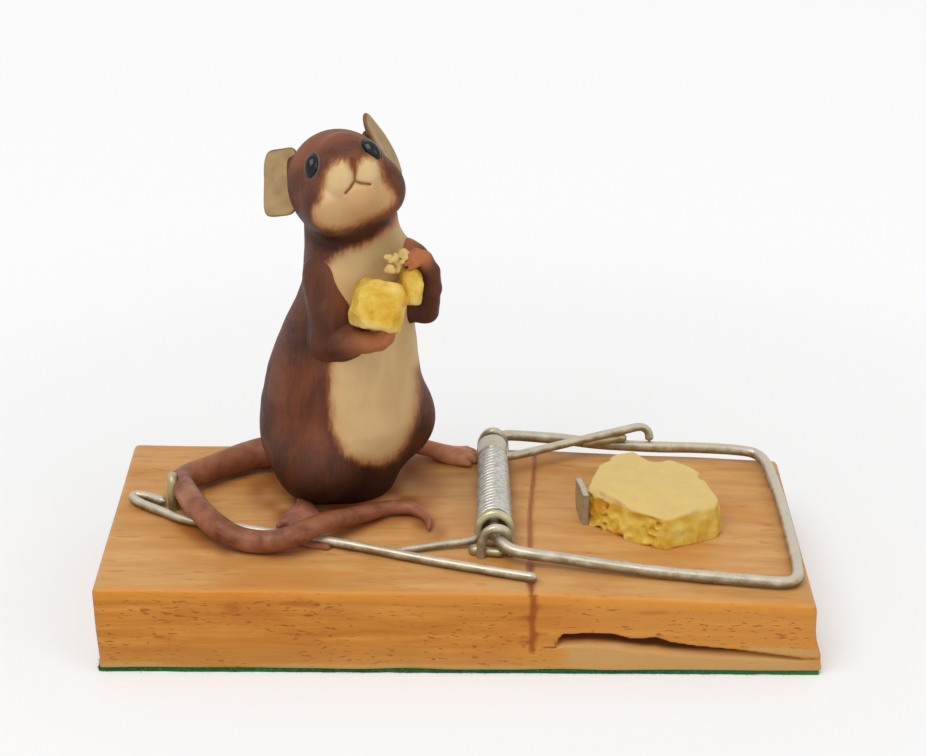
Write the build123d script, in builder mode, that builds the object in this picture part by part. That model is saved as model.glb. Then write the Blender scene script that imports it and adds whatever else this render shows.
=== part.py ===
from build123d import *

import math
import os

os.makedirs("parts", exist_ok=True)

# Board: a short plank in two slopes that meet at a scored line, with felt under it
board_length = 98.8
board_depth = 45.0
board_left_height = 12.9
board_score_height = 12.45
board_right_height = 10.8
score_x = 11.4
score_width = 0.6
score_depth = 0.5
right_end_undercut = 1.0
right_ledge_height = 3.4
right_waist_height = 6.6
felt_thickness = 0.7
felt_inset = 0.3
edge_round = 0.9

# Split in the front face, low on the right
split_length = 35.4
split_height = 3.3
split_low = 3.1
split_depth = 2.6
split_shares = (
    (0.02, 0.42),
    (0.03, 0.97),
    (0.21, 1.0),
    (0.31, 0.85),
    (0.38, 0.91),
    (0.44, 0.7),
    (0.66, 0.45),
    (0.9, 0.2),
    (1.0, 0.05),
    (0.88, 0.0),
    (0.62, 0.12),
    (0.46, 0.05),
    (0.4, 0.3),
    (0.25, 0.42),
)

# Wires of the trap, each with a few flats round its section
wire_diameter = 1.65
wire_sides = 6
staple_wire = 0.95
staple_sides = 6
lay_gap = 0.02
join_gap = 0.3

# Spring: turns round a solid core on the axle of the bail
spring_x = 4.9
spring_front_inset = 15.2
spring_back_gap = 1.9
spring_pitch = 0.99
spring_wire = 0.56
spring_sides = 3
spring_outer_diameter = 5.5
core_clearance = 0.06
core_recess = 1.6
collar_length = 3.2
collar_ease = 0.5
core_sides = 20
axle_clearance = 0.05

# Bail: the square hoop that lies to the right of the spring
bail_right_inset = 2.3
bail_back_end_inset = 3.2
bail_front_inset = 6.6
bail_front_middle_x = 23.4
bail_front_middle_inset = 6.8
bail_front_right_inset = 4.9
bail_back_inset = 1.0
bail_front_middle_rise = 0.4
bail_back_right_rise = 0.75
bail_front_bend = 2.6
bail_corner_bend = 3.2
bail_back_bend = 5.0
bail_axle_bend = 2.2
bail_slight_bend = 60.0

# Arm and leg of the spring's wire
arm_straight = 3.6
arm_middle_x = 15.0
arm_middle_inset = 4.6
arm_middle_height = 2.7
arm_end_x = 27.5
arm_end_height = 4.3
arm_hook_lean = 0.5
arm_first_bend = 3.0
arm_second_bend = 12.0
arm_hook_bend = 0.6
leg_end_x = -5.8
leg_reach = 4.7
leg_straight = 3.2
leg_bend = 2.5

# Staples
near_staple_inset = 9.9
far_staple_inset = 3.5
staple_span = 3.3
staple_height = 4.4
staple_root = 2.4
rod_staple_x = -41.9
rod_staple_y = 1.9
rod_staple_height = 4.9

# Arming rod: a long wire with an eye at its left end
rod_end_x = 10.6
rod_end_inset = 3.4
rod_low_x = -8.2
rod_low_inset = 9.9
rod_high_x = -27.1
rod_high_y = -5.2
eye_back_x = -46.7
eye_back_y = 4.1
eye_front_x = -47.3
eye_front_y = 0.4
eye_close_x = -35.2
eye_close_y = -6.1
eye_end_y = -3.7
eye_bend = 1.5
eye_close_bend = 0.9
rod_slight_bend = 45.0

# Bait: a broken lump of cheese against an upright strip
bait_x = 27.8
bait_y = 2.0
bait_half_length = 9.5
bait_half_depth = 10.3
bait_height = 5.4
bait_shares = (
    (-1.0, -0.15),
    (-0.74, -0.49),
    (-0.15, -0.83),
    (0.12, -0.97),
    (0.89, -0.5),
    (0.98, -0.28),
    (0.88, 0.29),
    (0.6, 0.71),
    (-0.24, 1.0),
    (-0.86, 0.53),
)
bait_top_share = 0.92
bite_radius = 2.3
bite_sides = 10
bite_x = 28.7
bite_y = 12.0
bite_depth = 3.2
strip_thickness = 0.9
strip_width = 5.6
strip_height = 5.1
strip_turn_angle = 8.0
seat_clearance = 0.05

# Mouse: where it sits and which way it faces, with forward, left and up from its seat
seat_x = -17.2
seat_y = 10.7
facing_angle = -47.0
body_height = 41.5
body_half_width = 11.7
body_sides = 18
body_shares = (
    (0.04, 0.0, 0.0, 0.62),
    (0.03, 0.0, 0.03, 0.81),
    (0.01, 0.0, 0.1, 0.95),
    (0.0, 0.0, 0.2, 1.0),
    (0.01, 0.0, 0.33, 0.97),
    (0.12, 0.0, 0.5, 0.87),
    (0.28, 0.0, 0.68, 0.74),
    (0.3, 0.0, 0.86, 0.63),
    (0.25, -0.01, 1.0, 0.565),
    (0.29, -0.06, 1.07, 0.53),
    (0.36, -0.12, 1.14, 0.44),
)

head_forward = 5.3
head_left = -2.4
head_rise = 7.2
head_turn_angle = -37.0
head_lift_angle = 38.0
head_tilt_angle = 18.0
head_radius = 7.65
head_sides = 14
head_shares = (
    (-0.99, 0.12, 0.0),
    (-0.9, 0.45, 0.0),
    (-0.6, 0.81, 0.0),
    (-0.2, 0.98, 0.0),
    (0.2, 0.98, 0.0),
    (0.55, 0.84, -0.03),
    (0.85, 0.64, -0.1),
    (1.08, 0.44, -0.12),
    (1.2, 0.26, -0.1),
    (1.25, 0.1, -0.08),
)
bead_sides = 8
bead_shares = ((0.0, 1.0), (0.6, 0.82), (0.98, 0.3))
puff_radius = 2.5
puff_forward = 7.2
puff_side = 2.1
puff_drop = 1.6

eye_radius = 1.75
eye_forward = 6.1
eye_side = 4.1
eye_rise = 1.5
eye_lift_angle = 14.0

ear_sides = 10
ear_half_width = 3.9
ear_half_height = 4.9
ear_thickness = 0.9
ear_depth = 2.2
ear_shares = ((0.45, 0.0), (0.8, 0.35), (1.0, 1.0))
ear_forward = -3.6
ear_side = 8.3
ear_rise = 3.2
ear_turn_angle = 38.0

# Limbs: forward, left and up as shares of the body's height, then a share of the shoulder's radius
shoulder_radius = 2.6
arm_sides = 6
right_arm_shares = (
    (
        (0.087, -0.145, 0.863, 0.7),
        (0.101, -0.173, 0.81, 1.0),
        (0.12, -0.2, 0.737, 1.0),
        (0.15, -0.214, 0.672, 0.95),
        (0.168, -0.222, 0.633, 0.7),
        (0.175, -0.226, 0.618, 0.3),
    ),
    (
        (0.127, -0.222, 0.655, 0.4),
        (0.15, -0.217, 0.653, 0.85),
        (0.21, -0.202, 0.648, 0.72),
        (0.27, -0.18, 0.648, 0.55),
        (0.328, -0.147, 0.667, 0.48),
        (0.371, -0.111, 0.704, 0.45),
        (0.376, -0.094, 0.747, 0.25),
    ),
)
left_arm_shares = (
    (
        (0.19, 0.072, 0.858, 0.6),
        (0.217, 0.096, 0.81, 0.86),
        (0.248, 0.12, 0.752, 0.9),
        (0.276, 0.13, 0.7, 0.9),
        (0.288, 0.133, 0.672, 0.7),
        (0.293, 0.134, 0.658, 0.3),
    ),
    (
        (0.262, 0.134, 0.655, 0.4),
        (0.277, 0.13, 0.69, 0.85),
        (0.315, 0.119, 0.79, 0.66),
        (0.347, 0.092, 0.885, 0.54),
        (0.357, 0.046, 0.937, 0.46),
        (0.347, -0.01, 0.928, 0.25),
    ),
)

thigh_half_length = 8.2
thigh_radius = 5.8
thigh_sides = 10
thigh_forward = 3.4
thigh_side = 7.3
thigh_shares = (
    (-0.98, 0.3),
    (-0.65, 0.8),
    (0.0, 1.03),
    (0.65, 0.8),
    (0.98, 0.3),
)

foot_sides = 8
foot_half_width = 2.6
foot_height = 2.6
right_foot_x = -22.2
right_foot_y = 4.4
right_foot_length = 9.6
right_foot_angle = -90.0
left_foot_x = -8.4
left_foot_y = 19.3
left_foot_length = 10.2
left_foot_angle = -8.0
foot_shares = (
    (0.0, 0.52, 1.0),
    (0.4, 0.58, 0.9),
    (0.75, 0.95, 0.6),
    (0.93, 1.0, 0.42),
    (1.0, 0.8, 0.25),
)

tail_sides = 6
tail_reach = 25.0
tail_root_radius = 2.3
tail_shares = (
    (-0.27, 0.19, 1.3, 1.0),
    (-0.51, 0.15, 1.09, 0.98),
    (-0.66, 0.06, 1.0, 0.9),
    (-0.78, -0.04, 0.96, 0.84),
    (-0.88, -0.13, 1.0, 0.8),
    (-0.92, -0.24, 1.13, 0.78),
    (-0.88, -0.38, 1.3, 0.76),
    (-0.78, -0.63, 1.48, 0.75),
    (-0.66, -0.79, 1.17, 0.74),
    (-0.53, -0.87, 0.83, 0.72),
    (-0.37, -0.9, 0.78, 0.7),
    (-0.24, -0.88, 1.04, 0.68),
    (-0.1, -0.8, 1.39, 0.65),
    (0.02, -0.68, 1.13, 0.6),
    (0.14, -0.54, 0.7, 0.54),
    (0.27, -0.44, 0.57, 0.48),
    (0.39, -0.42, 0.52, 0.42),
    (0.47, -0.47, 0.43, 0.34),
    (0.52, -0.56, 0.35, 0.26),
    (0.52, -0.65, 0.26, 0.15),
)

# Cheese in the paws: the larger lump in the right paw, the smaller in the left
right_cheese_forward = 13.6
right_cheese_left = -5.2
right_cheese_height = 33.2
right_cheese_half_width = 3.9
right_cheese_half_height = 4.2
right_cheese_depth = 5.6
left_cheese_forward = 14.9
left_cheese_left = -1.0
left_cheese_height = 35.2
left_cheese_half_width = 1.7
left_cheese_half_height = 2.7
left_cheese_depth = 4.0
cheese_turn_angle = 44.0
cheese_ease = 0.5
lump_shares = (
    (-0.97, 0.07),
    (-0.62, 0.76),
    (0.33, 1.0),
    (0.68, 0.36),
    (1.0, -0.33),
    (0.72, -0.95),
    (-0.46, -1.0),
    (-0.87, -0.4),
)

# Places worked out from the sizes above
half_length = board_length / 2
half_depth = board_depth / 2
left_slope = (board_left_height - board_score_height) / (score_x + half_length)
right_top_x = half_length - right_end_undercut
front_y = -half_depth
spring_front_y = front_y + spring_front_inset
near_staple_y = front_y + near_staple_inset
far_staple_y = half_depth - far_staple_inset
bail_front_y = front_y + bail_front_inset
bail_back_y = half_depth - bail_back_inset
right_slope = (board_score_height - board_right_height) / (right_top_x - score_x)


def slope_plane(slope):
    """The plane of one half of the board's top, with its origin over the board's middle."""
    height = board_score_height + slope * score_x
    across = Axis.X.direction - Axis.Z.direction * slope
    return Plane(origin=(0, 0, height), x_dir=across, z_dir=across.cross(Axis.Y.direction))


left_top = slope_plane(left_slope)
right_top = slope_plane(right_slope)


def on(plane, x, y, z):
    """A place given along a plane's own axes."""
    return plane.from_local_coords(Vector(x, y, z))


def turned(plane, place, turn=0, lift=0, tilt=0):
    """A plane moved to a place on another, turned about its normal, lifted, then tilted."""
    moved = plane.location * Location(place) * Location((0, 0, 0), (0, 0, turn))
    return Plane(moved * Location((0, 0, 0), (0, -lift, 0)) * Location((0, 0, 0), (tilt, 0, 0)))


def halved(stations):
    """Stations with a smooth middle one put between each two."""
    last = len(stations) - 1
    result = [stations[0]]
    for index in range(last):
        before = stations[max(index - 1, 0)]
        after = stations[min(index + 2, last)]
        pair = zip(before, stations[index], stations[index + 1], after)
        result.append(tuple((9 * (b + c) - a - d) / 16 for a, b, c, d in pair))
        result.append(stations[index + 1])
    return result


def ring_planes(places, upright):
    """A plane square to the run of the places at each of them, with a steady X axis."""
    planes = []
    last = len(places) - 1
    for index, place in enumerate(places):
        run = (places[min(index + 1, last)] - places[max(index - 1, 0)]).normalized()
        across = upright - run * upright.dot(run)
        planes.append(Plane(origin=place, x_dir=across, z_dir=run))
    return planes


mouse = turned(left_top, (seat_x, seat_y, 0), turn=facing_angle)
axle_height = spring_outer_diameter / 2 + lay_gap
axle = right_top.to_local_coords(on(left_top, spring_x, 0, axle_height))
spring_room = far_staple_y - spring_back_gap - collar_length - spring_front_y
spring_turns = int((spring_room - spring_wire / 2 - core_clearance) / spring_pitch)
spring_length = spring_turns * spring_pitch
spring_back_y = spring_front_y + spring_length
core_back_y = spring_back_y + spring_wire / 2 + core_clearance + collar_length
wire_rest = wire_diameter / 2 + lay_gap
staple_half = staple_span / 2
staple_feet = [
    (spring_x - staple_half, near_staple_y),
    (spring_x + staple_half, near_staple_y),
    (spring_x - staple_half, far_staple_y),
    (spring_x + staple_half, far_staple_y),
    (rod_staple_x, rod_staple_y - staple_half),
    (rod_staple_x, rod_staple_y + staple_half),
]

# Base block: the plank, its scored line, its split and the holes for the staples
with BuildPart() as base_block:
    with BuildSketch(Plane.XZ):
        with BuildLine():
            Polyline(
                (-half_length, felt_thickness),
                (-half_length, board_left_height),
                (score_x, board_score_height),
                (right_top_x, board_right_height),
                (right_top_x, right_waist_height),
                (half_length, right_ledge_height),
                (half_length, felt_thickness),
                close=True,
            )
        make_face()
    extrude(amount=half_depth, both=True)
    top_edges = base_block.edges().filter_by(Axis.Y, reverse=True)
    high = [edge for edge in top_edges if edge.center().Z > right_waist_height]
    front = [edge for edge in high if edge.center().Y < 0 and edge.length > half_depth]
    fillet(front, radius=edge_round)
    with BuildSketch(left_top) as score:
        with Locations((score_x, 0)):
            Rectangle(score_width, board_depth - score_width)
    extrude(amount=-score_depth, mode=Mode.SUBTRACT)
    with BuildSketch(Plane.XZ.offset(half_depth)):
        with BuildLine():
            Polyline(
                *[
                    (score_x + right * split_length, split_low + up * split_height)
                    for right, up in split_shares
                ],
                close=True,
            )
        make_face()
    extrude(amount=-split_depth, mode=Mode.SUBTRACT)
    with BuildSketch(left_top):
        with Locations(*staple_feet):
            RegularPolygon(staple_wire / 2 + seat_clearance, staple_sides)
    extrude(amount=-staple_root - seat_clearance, mode=Mode.SUBTRACT)

base_block.part.label = "base_block"
export_step(base_block.part, "parts/base_block.step")

# Felt pad glued under the block
with BuildPart() as felt_pad:
    with BuildSketch(Plane.XY):
        RectangleRounded(board_length - 2 * felt_inset, board_depth - 2 * felt_inset, edge_round)
    extrude(amount=felt_thickness)

felt_pad.part.label = "felt_pad"
export_step(felt_pad.part, "parts/felt_pad.step")


def bent_wire(route, bends, diameter, sides):
    """A wire along straight runs joined by arcs."""
    with BuildPart() as wire:
        with BuildLine() as line:
            FilletPolyline(*route, radius=bends)
        with BuildSketch(Plane(origin=line.wire() @ 0, z_dir=line.wire() % 0)):
            RegularPolygon(diameter / 2, sides)
        sweep(path=line.wire())
    return wire


# Bail: one wire from inside the core, out under the near staple, round the hoop and back in
bail_middle_y = (spring_front_y + core_back_y) / 2
bail_route = [
    on(right_top, axle.X, bail_middle_y - join_gap / 2, axle.Z),
    on(right_top, axle.X, bail_front_y, axle.Z),
    on(
        right_top,
        bail_front_middle_x,
        front_y + bail_front_middle_inset,
        wire_rest + bail_front_middle_rise,
    ),
    on(right_top, half_length - bail_right_inset, front_y + bail_front_right_inset, wire_rest),
    on(right_top, half_length - bail_back_end_inset, bail_back_y, wire_rest + bail_back_right_rise),
    on(right_top, axle.X, bail_back_y, axle.Z),
    on(right_top, axle.X, bail_middle_y + join_gap / 2, axle.Z),
]
bail_bends = [bail_front_bend, bail_slight_bend, bail_corner_bend, bail_back_bend, bail_axle_bend]
hammer_bail = bent_wire(bail_route, bail_bends, wire_diameter, wire_sides)

hammer_bail.part.label = "hammer_bail"
export_step(hammer_bail.part, "parts/hammer_bail.step")

# Core of the spring: a sleeve on the axle with a smooth collar at its back
core_front = Plane(
    origin=on(left_top, spring_x, spring_front_y + core_recess, axle_height),
    x_dir=left_top.x_dir,
    z_dir=(0, 1, 0),
)
core_length = core_back_y - spring_front_y - core_recess
with BuildPart() as spring_core:
    with BuildSketch(core_front):
        RegularPolygon(spring_outer_diameter / 2 - spring_wire - core_clearance, core_sides)
    extrude(amount=core_length - collar_length)
    with BuildSketch(core_front.offset(core_length - collar_length)):
        RegularPolygon(spring_outer_diameter / 2, core_sides)
    extrude(amount=collar_length)
    chamfer(spring_core.faces().sort_by(Axis.Y)[-1].edges(), length=collar_ease)
    with BuildSketch(core_front):
        Circle(wire_diameter / 2 + axle_clearance)
    extrude(amount=core_length, mode=Mode.SUBTRACT)

spring_core.part.label = "spring_core"
export_step(spring_core.part, "parts/spring_core.step")

# Torsion spring: leg, close turns and arm in one wire
turn_radius = (spring_outer_diameter - spring_wire) / 2


def turn_place(turn):
    """A place on the helix, counted in turns from its start under the axle."""
    angle = 2 * math.pi * turn
    return on(
        left_top,
        spring_x + turn_radius * math.sin(angle),
        spring_front_y + spring_pitch * turn,
        axle_height - turn_radius * math.cos(angle),
    )


def turn_run(turn):
    """The direction of the helix at a place counted in turns."""
    angle = 2 * math.pi * turn
    rise = spring_pitch / (2 * math.pi)
    local = Vector(turn_radius * math.cos(angle), rise, turn_radius * math.sin(angle))
    return (left_top.from_local_coords(local) - left_top.origin).normalized()


def half_turn(turn):
    """Two tangent arcs that carry the wire through the half turn that starts here."""
    start, start_run = turn_place(turn), turn_run(turn)
    end, end_run = turn_place(turn + 0.5), turn_run(turn + 0.5)
    chord = end - start
    both = start_run + end_run
    spread = 2 * (1 - start_run.dot(end_run))
    reach = (math.sqrt(chord.dot(both) ** 2 + spread * chord.dot(chord)) - chord.dot(both)) / spread
    first, second = start + start_run * reach, end - end_run * reach
    middle = (first + second) / 2
    TangentArc(start, middle, tangent=start_run)
    TangentArc(middle, end, tangent=second - first)


arm_start = turn_place(spring_turns)
arm_end_y = bail_back_y
leg_route = [
    on(left_top, leg_end_x, spring_front_y - leg_reach, spring_wire / 2 + lay_gap),
    on(left_top, spring_x - leg_straight, spring_front_y, axle_height - turn_radius),
    turn_place(0),
]
bail_share = (arm_end_x - axle.X) / (half_length - bail_back_end_inset - axle.X)
bail_under_arm = axle.Z + (wire_rest + bail_back_right_rise - axle.Z) * bail_share
arm_route = [
    arm_start,
    on(left_top, spring_x + arm_straight, spring_back_y, axle_height - turn_radius),
    on(right_top, arm_middle_x, half_depth - arm_middle_inset, arm_middle_height),
    on(right_top, arm_end_x, arm_end_y, arm_end_height),
    on(
        right_top,
        arm_end_x + arm_hook_lean,
        arm_end_y,
        bail_under_arm + (wire_diameter + spring_wire) / 2 + lay_gap,
    ),
]
with BuildPart() as torsion_spring:
    with BuildLine() as spring_line:
        FilletPolyline(*leg_route, radius=leg_bend)
        for half in range(2 * spring_turns):
            half_turn(half / 2)
        FilletPolyline(*arm_route, radius=[arm_first_bend, arm_second_bend, arm_hook_bend])
    with BuildSketch(Plane(origin=spring_line.wire() @ 0, z_dir=spring_line.wire() % 0)):
        RegularPolygon(spring_wire / 2, spring_sides)
    sweep(path=spring_line.wire())

torsion_spring.part.label = "torsion_spring"
export_step(torsion_spring.part, "parts/torsion_spring.step")


def least_gap():
    """The least gap between one turn of the spring and the next, from points on the helix."""
    steps = 48
    places = [turn_place(step / steps) for step in range(3 * steps)]
    apart = [
        (places[one] - places[other]).length
        for one in range(steps)
        for other in range(one + steps // 2, 3 * steps)
    ]
    return min(apart) - spring_wire


print("least gap of the spring to itself, mm:", round(least_gap(), 3))


def staple(place, along):
    """A staple over a wire: two legs into the block and a round crown, along x or along y."""
    x, y, height = place
    reach = (staple_half, 0) if along == "x" else (0, staple_half)
    route = [
        on(left_top, x - reach[0], y - reach[1], -staple_root),
        on(left_top, x - reach[0], y - reach[1], height),
        on(left_top, x + reach[0], y + reach[1], height),
        on(left_top, x + reach[0], y + reach[1], -staple_root),
    ]
    return bent_wire(route, staple_half - lay_gap, staple_wire, staple_sides)


near_staple = staple((spring_x, near_staple_y, staple_height), "x")
near_staple.part.label = "near_staple"
export_step(near_staple.part, "parts/near_staple.step")

far_staple = staple((spring_x, far_staple_y, staple_height), "x")
far_staple.part.label = "far_staple"
export_step(far_staple.part, "parts/far_staple.step")

rod_staple = staple((rod_staple_x, rod_staple_y, rod_staple_height), "y")
rod_staple.part.label = "rod_staple"
export_step(rod_staple.part, "parts/rod_staple.step")

# Arming rod: the eye at the left, then the long slightly bowed run to its cut end
rod_route = [
    on(left_top, eye_close_x, eye_end_y, wire_rest),
    on(left_top, eye_close_x, eye_close_y, wire_rest),
    on(left_top, eye_front_x, eye_front_y, wire_rest),
    on(left_top, eye_back_x, eye_back_y, wire_rest),
    on(left_top, rod_high_x, rod_high_y, wire_rest),
    on(left_top, rod_low_x, front_y + rod_low_inset, wire_rest),
    on(left_top, rod_end_x, front_y + rod_end_inset, wire_rest),
]
rod_bends = [eye_close_bend, eye_bend, eye_bend, rod_slight_bend, rod_slight_bend]
arming_rod = bent_wire(rod_route, rod_bends, wire_diameter, wire_sides)
arming_rod.part.label = "arming_rod"
export_step(arming_rod.part, "parts/arming_rod.step")

# Upright strip that the bait leans on
bait_edge_x = bait_x - bait_half_length
strip_plane = turned(
    right_top,
    (bait_edge_x - strip_thickness / 2, bait_y - bait_half_depth / 8, 0),
    turn=strip_turn_angle,
)
with BuildPart() as bait_strip:
    with BuildSketch(strip_plane):
        Rectangle(strip_thickness, strip_width)
    extrude(amount=strip_height)

bait_strip.part.label = "bait_strip"
export_step(bait_strip.part, "parts/bait_strip.step")

# Bait cheese: a broken lump with a bite out of its back edge
bait_plane = turned(right_top, (bait_x, bait_y, 0))
with BuildPart() as bait_cheese:
    for size, rise in ((1, 0), (bait_top_share, bait_height)):
        corners = [(x * bait_half_length * size, y * bait_half_depth * size) for x, y in bait_shares]
        with BuildSketch(bait_plane.offset(rise)):
            Polygon(*corners, align=None)
    loft(ruled=True)
    with BuildSketch(right_top.offset(bait_height - bite_depth)):
        with Locations((bite_x, bite_y)):
            RegularPolygon(bite_radius, bite_sides)
    extrude(amount=bait_height, mode=Mode.SUBTRACT)
    add(bait_strip.part, mode=Mode.SUBTRACT)

bait_cheese.part.label = "bait_cheese"
export_step(bait_cheese.part, "parts/bait_cheese.step")


def oval(half_width, half_height, sides):
    """An oval with a few flats, drawn in the open sketch."""
    angles = [2 * math.pi * (side + 0.5) / sides for side in range(sides)]
    Polygon(*[(half_width * math.cos(a), half_height * math.sin(a)) for a in angles], align=None)


def form(plane, stations, steady, sides, flat_foot=False):
    """A form through many-sided rings: x, y, z and radius of each, in the plane's own axes.

    The first ring may lie flat on the plane.
    """
    rings = ring_planes([on(plane, *station[:3]) for station in stations], steady)
    if flat_foot:
        rings[0] = Plane(origin=rings[0].origin, x_dir=plane.x_dir, z_dir=plane.z_dir)
    with BuildPart() as shape:
        for ring, station in zip(rings, stations):
            with BuildSketch(ring):
                RegularPolygon(station[3], sides)
        loft(ruled=True)
    return shape


def bead(plane, radius):
    """A half ball that stands on the plane's origin and points along its X axis."""
    stations = [(along * radius, 0, 0, size * radius) for along, size in bead_shares]
    return form(plane, stations, plane.z_dir, bead_sides)


# Torso: from the seat up to the neck, which plugs into the head
body_stations = [
    (forward * body_half_width, left * body_half_width, up * body_height, size * body_half_width)
    for forward, left, up, size in body_shares
]
mouse_torso = form(mouse, body_stations, mouse.x_dir, body_sides, flat_foot=True)
mouse_torso.part.label = "mouse_torso"
export_step(mouse_torso.part, "parts/mouse_torso.step")

# Head: skull and muzzle, with sockets for the eyes and the neck
head_place = (head_forward, head_left, body_height + head_rise)
head = turned(mouse, head_place, head_turn_angle, head_lift_angle, head_tilt_angle)
head_stations = [
    (along * head_radius, 0, up * head_radius, size * head_radius) for along, size, up in head_shares
]
eyes = {}
for node, side in (("left_eye", 1), ("right_eye", -1)):
    outward = math.degrees(math.atan2(side * eye_side, eye_forward))
    socket = turned(head, (eye_forward, side * eye_side, eye_rise), turn=outward, lift=eye_lift_angle)
    eye = bead(socket, eye_radius)
    eye.part.label = node
    export_step(eye.part, "parts/" + node + ".step")
    eyes[node] = eye

with BuildPart() as mouse_head:
    add(form(head, head_stations, head.z_dir, head_sides).part)
    for side in (1, -1):
        add(bead(turned(head, (puff_forward, side * puff_side, -puff_drop)), puff_radius).part)
    add(mouse_torso.part, mode=Mode.SUBTRACT)
    for eye in eyes.values():
        add(eye.part, mode=Mode.SUBTRACT)

mouse_head.part.label = "mouse_head"
export_step(mouse_head.part, "parts/mouse_head.step")

# Ears: thin cupped dishes seated on the sides of the head
for node, side in (("left_ear", 1), ("right_ear", -1)):
    dish = turned(head, (ear_forward, side * ear_side, ear_rise), turn=side * ear_turn_angle)
    dish_face = Plane(origin=dish.origin, x_dir=dish.y_dir, z_dir=dish.x_dir)
    with BuildPart() as ear:
        for lift, mode in ((0, Mode.ADD), (ear_thickness, Mode.SUBTRACT)):
            for size, rise in ear_shares:
                with BuildSketch(dish_face.offset(rise * ear_depth + lift)):
                    oval(size * ear_half_width, size * ear_half_height, ear_sides)
            loft(ruled=True, mode=mode)
        add(mouse_head.part, mode=Mode.SUBTRACT)
        add(mouse_torso.part, mode=Mode.SUBTRACT)
    ear.part.label = node
    export_step(ear.part, "parts/" + node + ".step")


# Arms: an upper run and a forearm that meet at the elbow
arm_steady = mouse.from_local_coords(Vector(1, 1, 1)) - mouse.origin
arms = {}
for node, runs in (("right_arm", right_arm_shares), ("left_arm", left_arm_shares)):
    with BuildPart() as arm:
        for shares in runs:
            arm_stations = [
                (forward * body_height, left * body_height, up * body_height, size * shoulder_radius)
                for forward, left, up, size in shares
            ]
            add(form(mouse, arm_stations, arm_steady, arm_sides).part)
        add(mouse_torso.part, mode=Mode.SUBTRACT)
    arm.part.label = node
    export_step(arm.part, "parts/" + node + ".step")
    arms[node] = arm

# Thighs: rounded haunches at the sides of the torso
thighs = {}
for node, side in (("left_thigh", 1), ("right_thigh", -1)):
    stations = [
        (
            thigh_forward,
            side * thigh_side,
            thigh_half_length + lay_gap + along * thigh_half_length,
            size * thigh_radius,
        )
        for along, size in thigh_shares
    ]
    with BuildPart() as thigh:
        add(form(mouse, stations, mouse.x_dir, thigh_sides).part)
        add(mouse_torso.part, mode=Mode.SUBTRACT)
    thigh.part.label = node
    export_step(thigh.part, "parts/" + node + ".step")
    thighs[node] = thigh

# Feet: flat, widening to the toes
feet = {}
for node, place, length, heading in (
    ("right_foot", (right_foot_x, right_foot_y, 0), right_foot_length, right_foot_angle),
    ("left_foot", (left_foot_x, left_foot_y, 0), left_foot_length, left_foot_angle),
):
    sole = turned(left_top, place, turn=heading)
    with BuildPart() as foot:
        for along, width, high in foot_shares:
            rise = high * foot_height / 2
            ring = Plane(
                origin=on(sole, along * length, 0, rise + lay_gap),
                x_dir=sole.y_dir,
                z_dir=sole.x_dir,
            )
            with BuildSketch(ring):
                oval(width * foot_half_width, rise, foot_sides)
        loft(ruled=True)
        add(mouse_torso.part, mode=Mode.SUBTRACT)
        for thigh in thighs.values():
            add(thigh.part, mode=Mode.SUBTRACT)
    foot.part.label = node
    export_step(foot.part, "parts/" + node + ".step")
    feet[node] = foot

# Tail: curls left from the rump, crosses the rod twice and ends in a hook
tail_stations = halved(
    [
        (x * tail_reach, y * tail_reach, up * tail_root_radius, size * tail_root_radius)
        for x, y, up, size in tail_shares
    ]
)
seat = turned(left_top, (seat_x, seat_y, 0))
with BuildPart() as tail:
    add(form(seat, tail_stations, left_top.z_dir, tail_sides).part)
    add(mouse_torso.part, mode=Mode.SUBTRACT)
    add(arming_rod.part, mode=Mode.SUBTRACT)
    add(rod_staple.part, mode=Mode.SUBTRACT)
    add(feet["right_foot"].part, mode=Mode.SUBTRACT)

tail.part.label = "tail"
export_step(tail.part, "parts/tail.step")


def lump(place, half_width, half_height, depth):
    """A chipped block of cheese seen square on from the front of the mouse."""
    face = turned(mouse, place, turn=cheese_turn_angle)
    front = Plane(origin=face.origin, x_dir=face.x_dir, z_dir=-face.y_dir)
    with BuildPart() as block:
        with BuildSketch(front):
            Polygon(*[(x * half_width, y * half_height) for x, y in lump_shares], align=None)
        extrude(amount=depth / 2, both=True)
        chamfer(block.edges().filter_by(Axis(front.origin, front.z_dir)), length=cheese_ease)
        add(mouse_torso.part, mode=Mode.SUBTRACT)
        for arm in arms.values():
            add(arm.part, mode=Mode.SUBTRACT)
    return block


right_cheese = lump(
    (right_cheese_forward, right_cheese_left, right_cheese_height),
    right_cheese_half_width,
    right_cheese_half_height,
    right_cheese_depth,
)
right_cheese.part.label = "right_cheese"
export_step(right_cheese.part, "parts/right_cheese.step")

small_lump = lump(
    (left_cheese_forward, left_cheese_left, left_cheese_height),
    left_cheese_half_width,
    left_cheese_half_height,
    left_cheese_depth,
)
with BuildPart() as left_cheese:
    add(small_lump.part)
    add(right_cheese.part, mode=Mode.SUBTRACT)

left_cheese.part.label = "left_cheese"
export_step(left_cheese.part, "parts/left_cheese.step")
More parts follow.
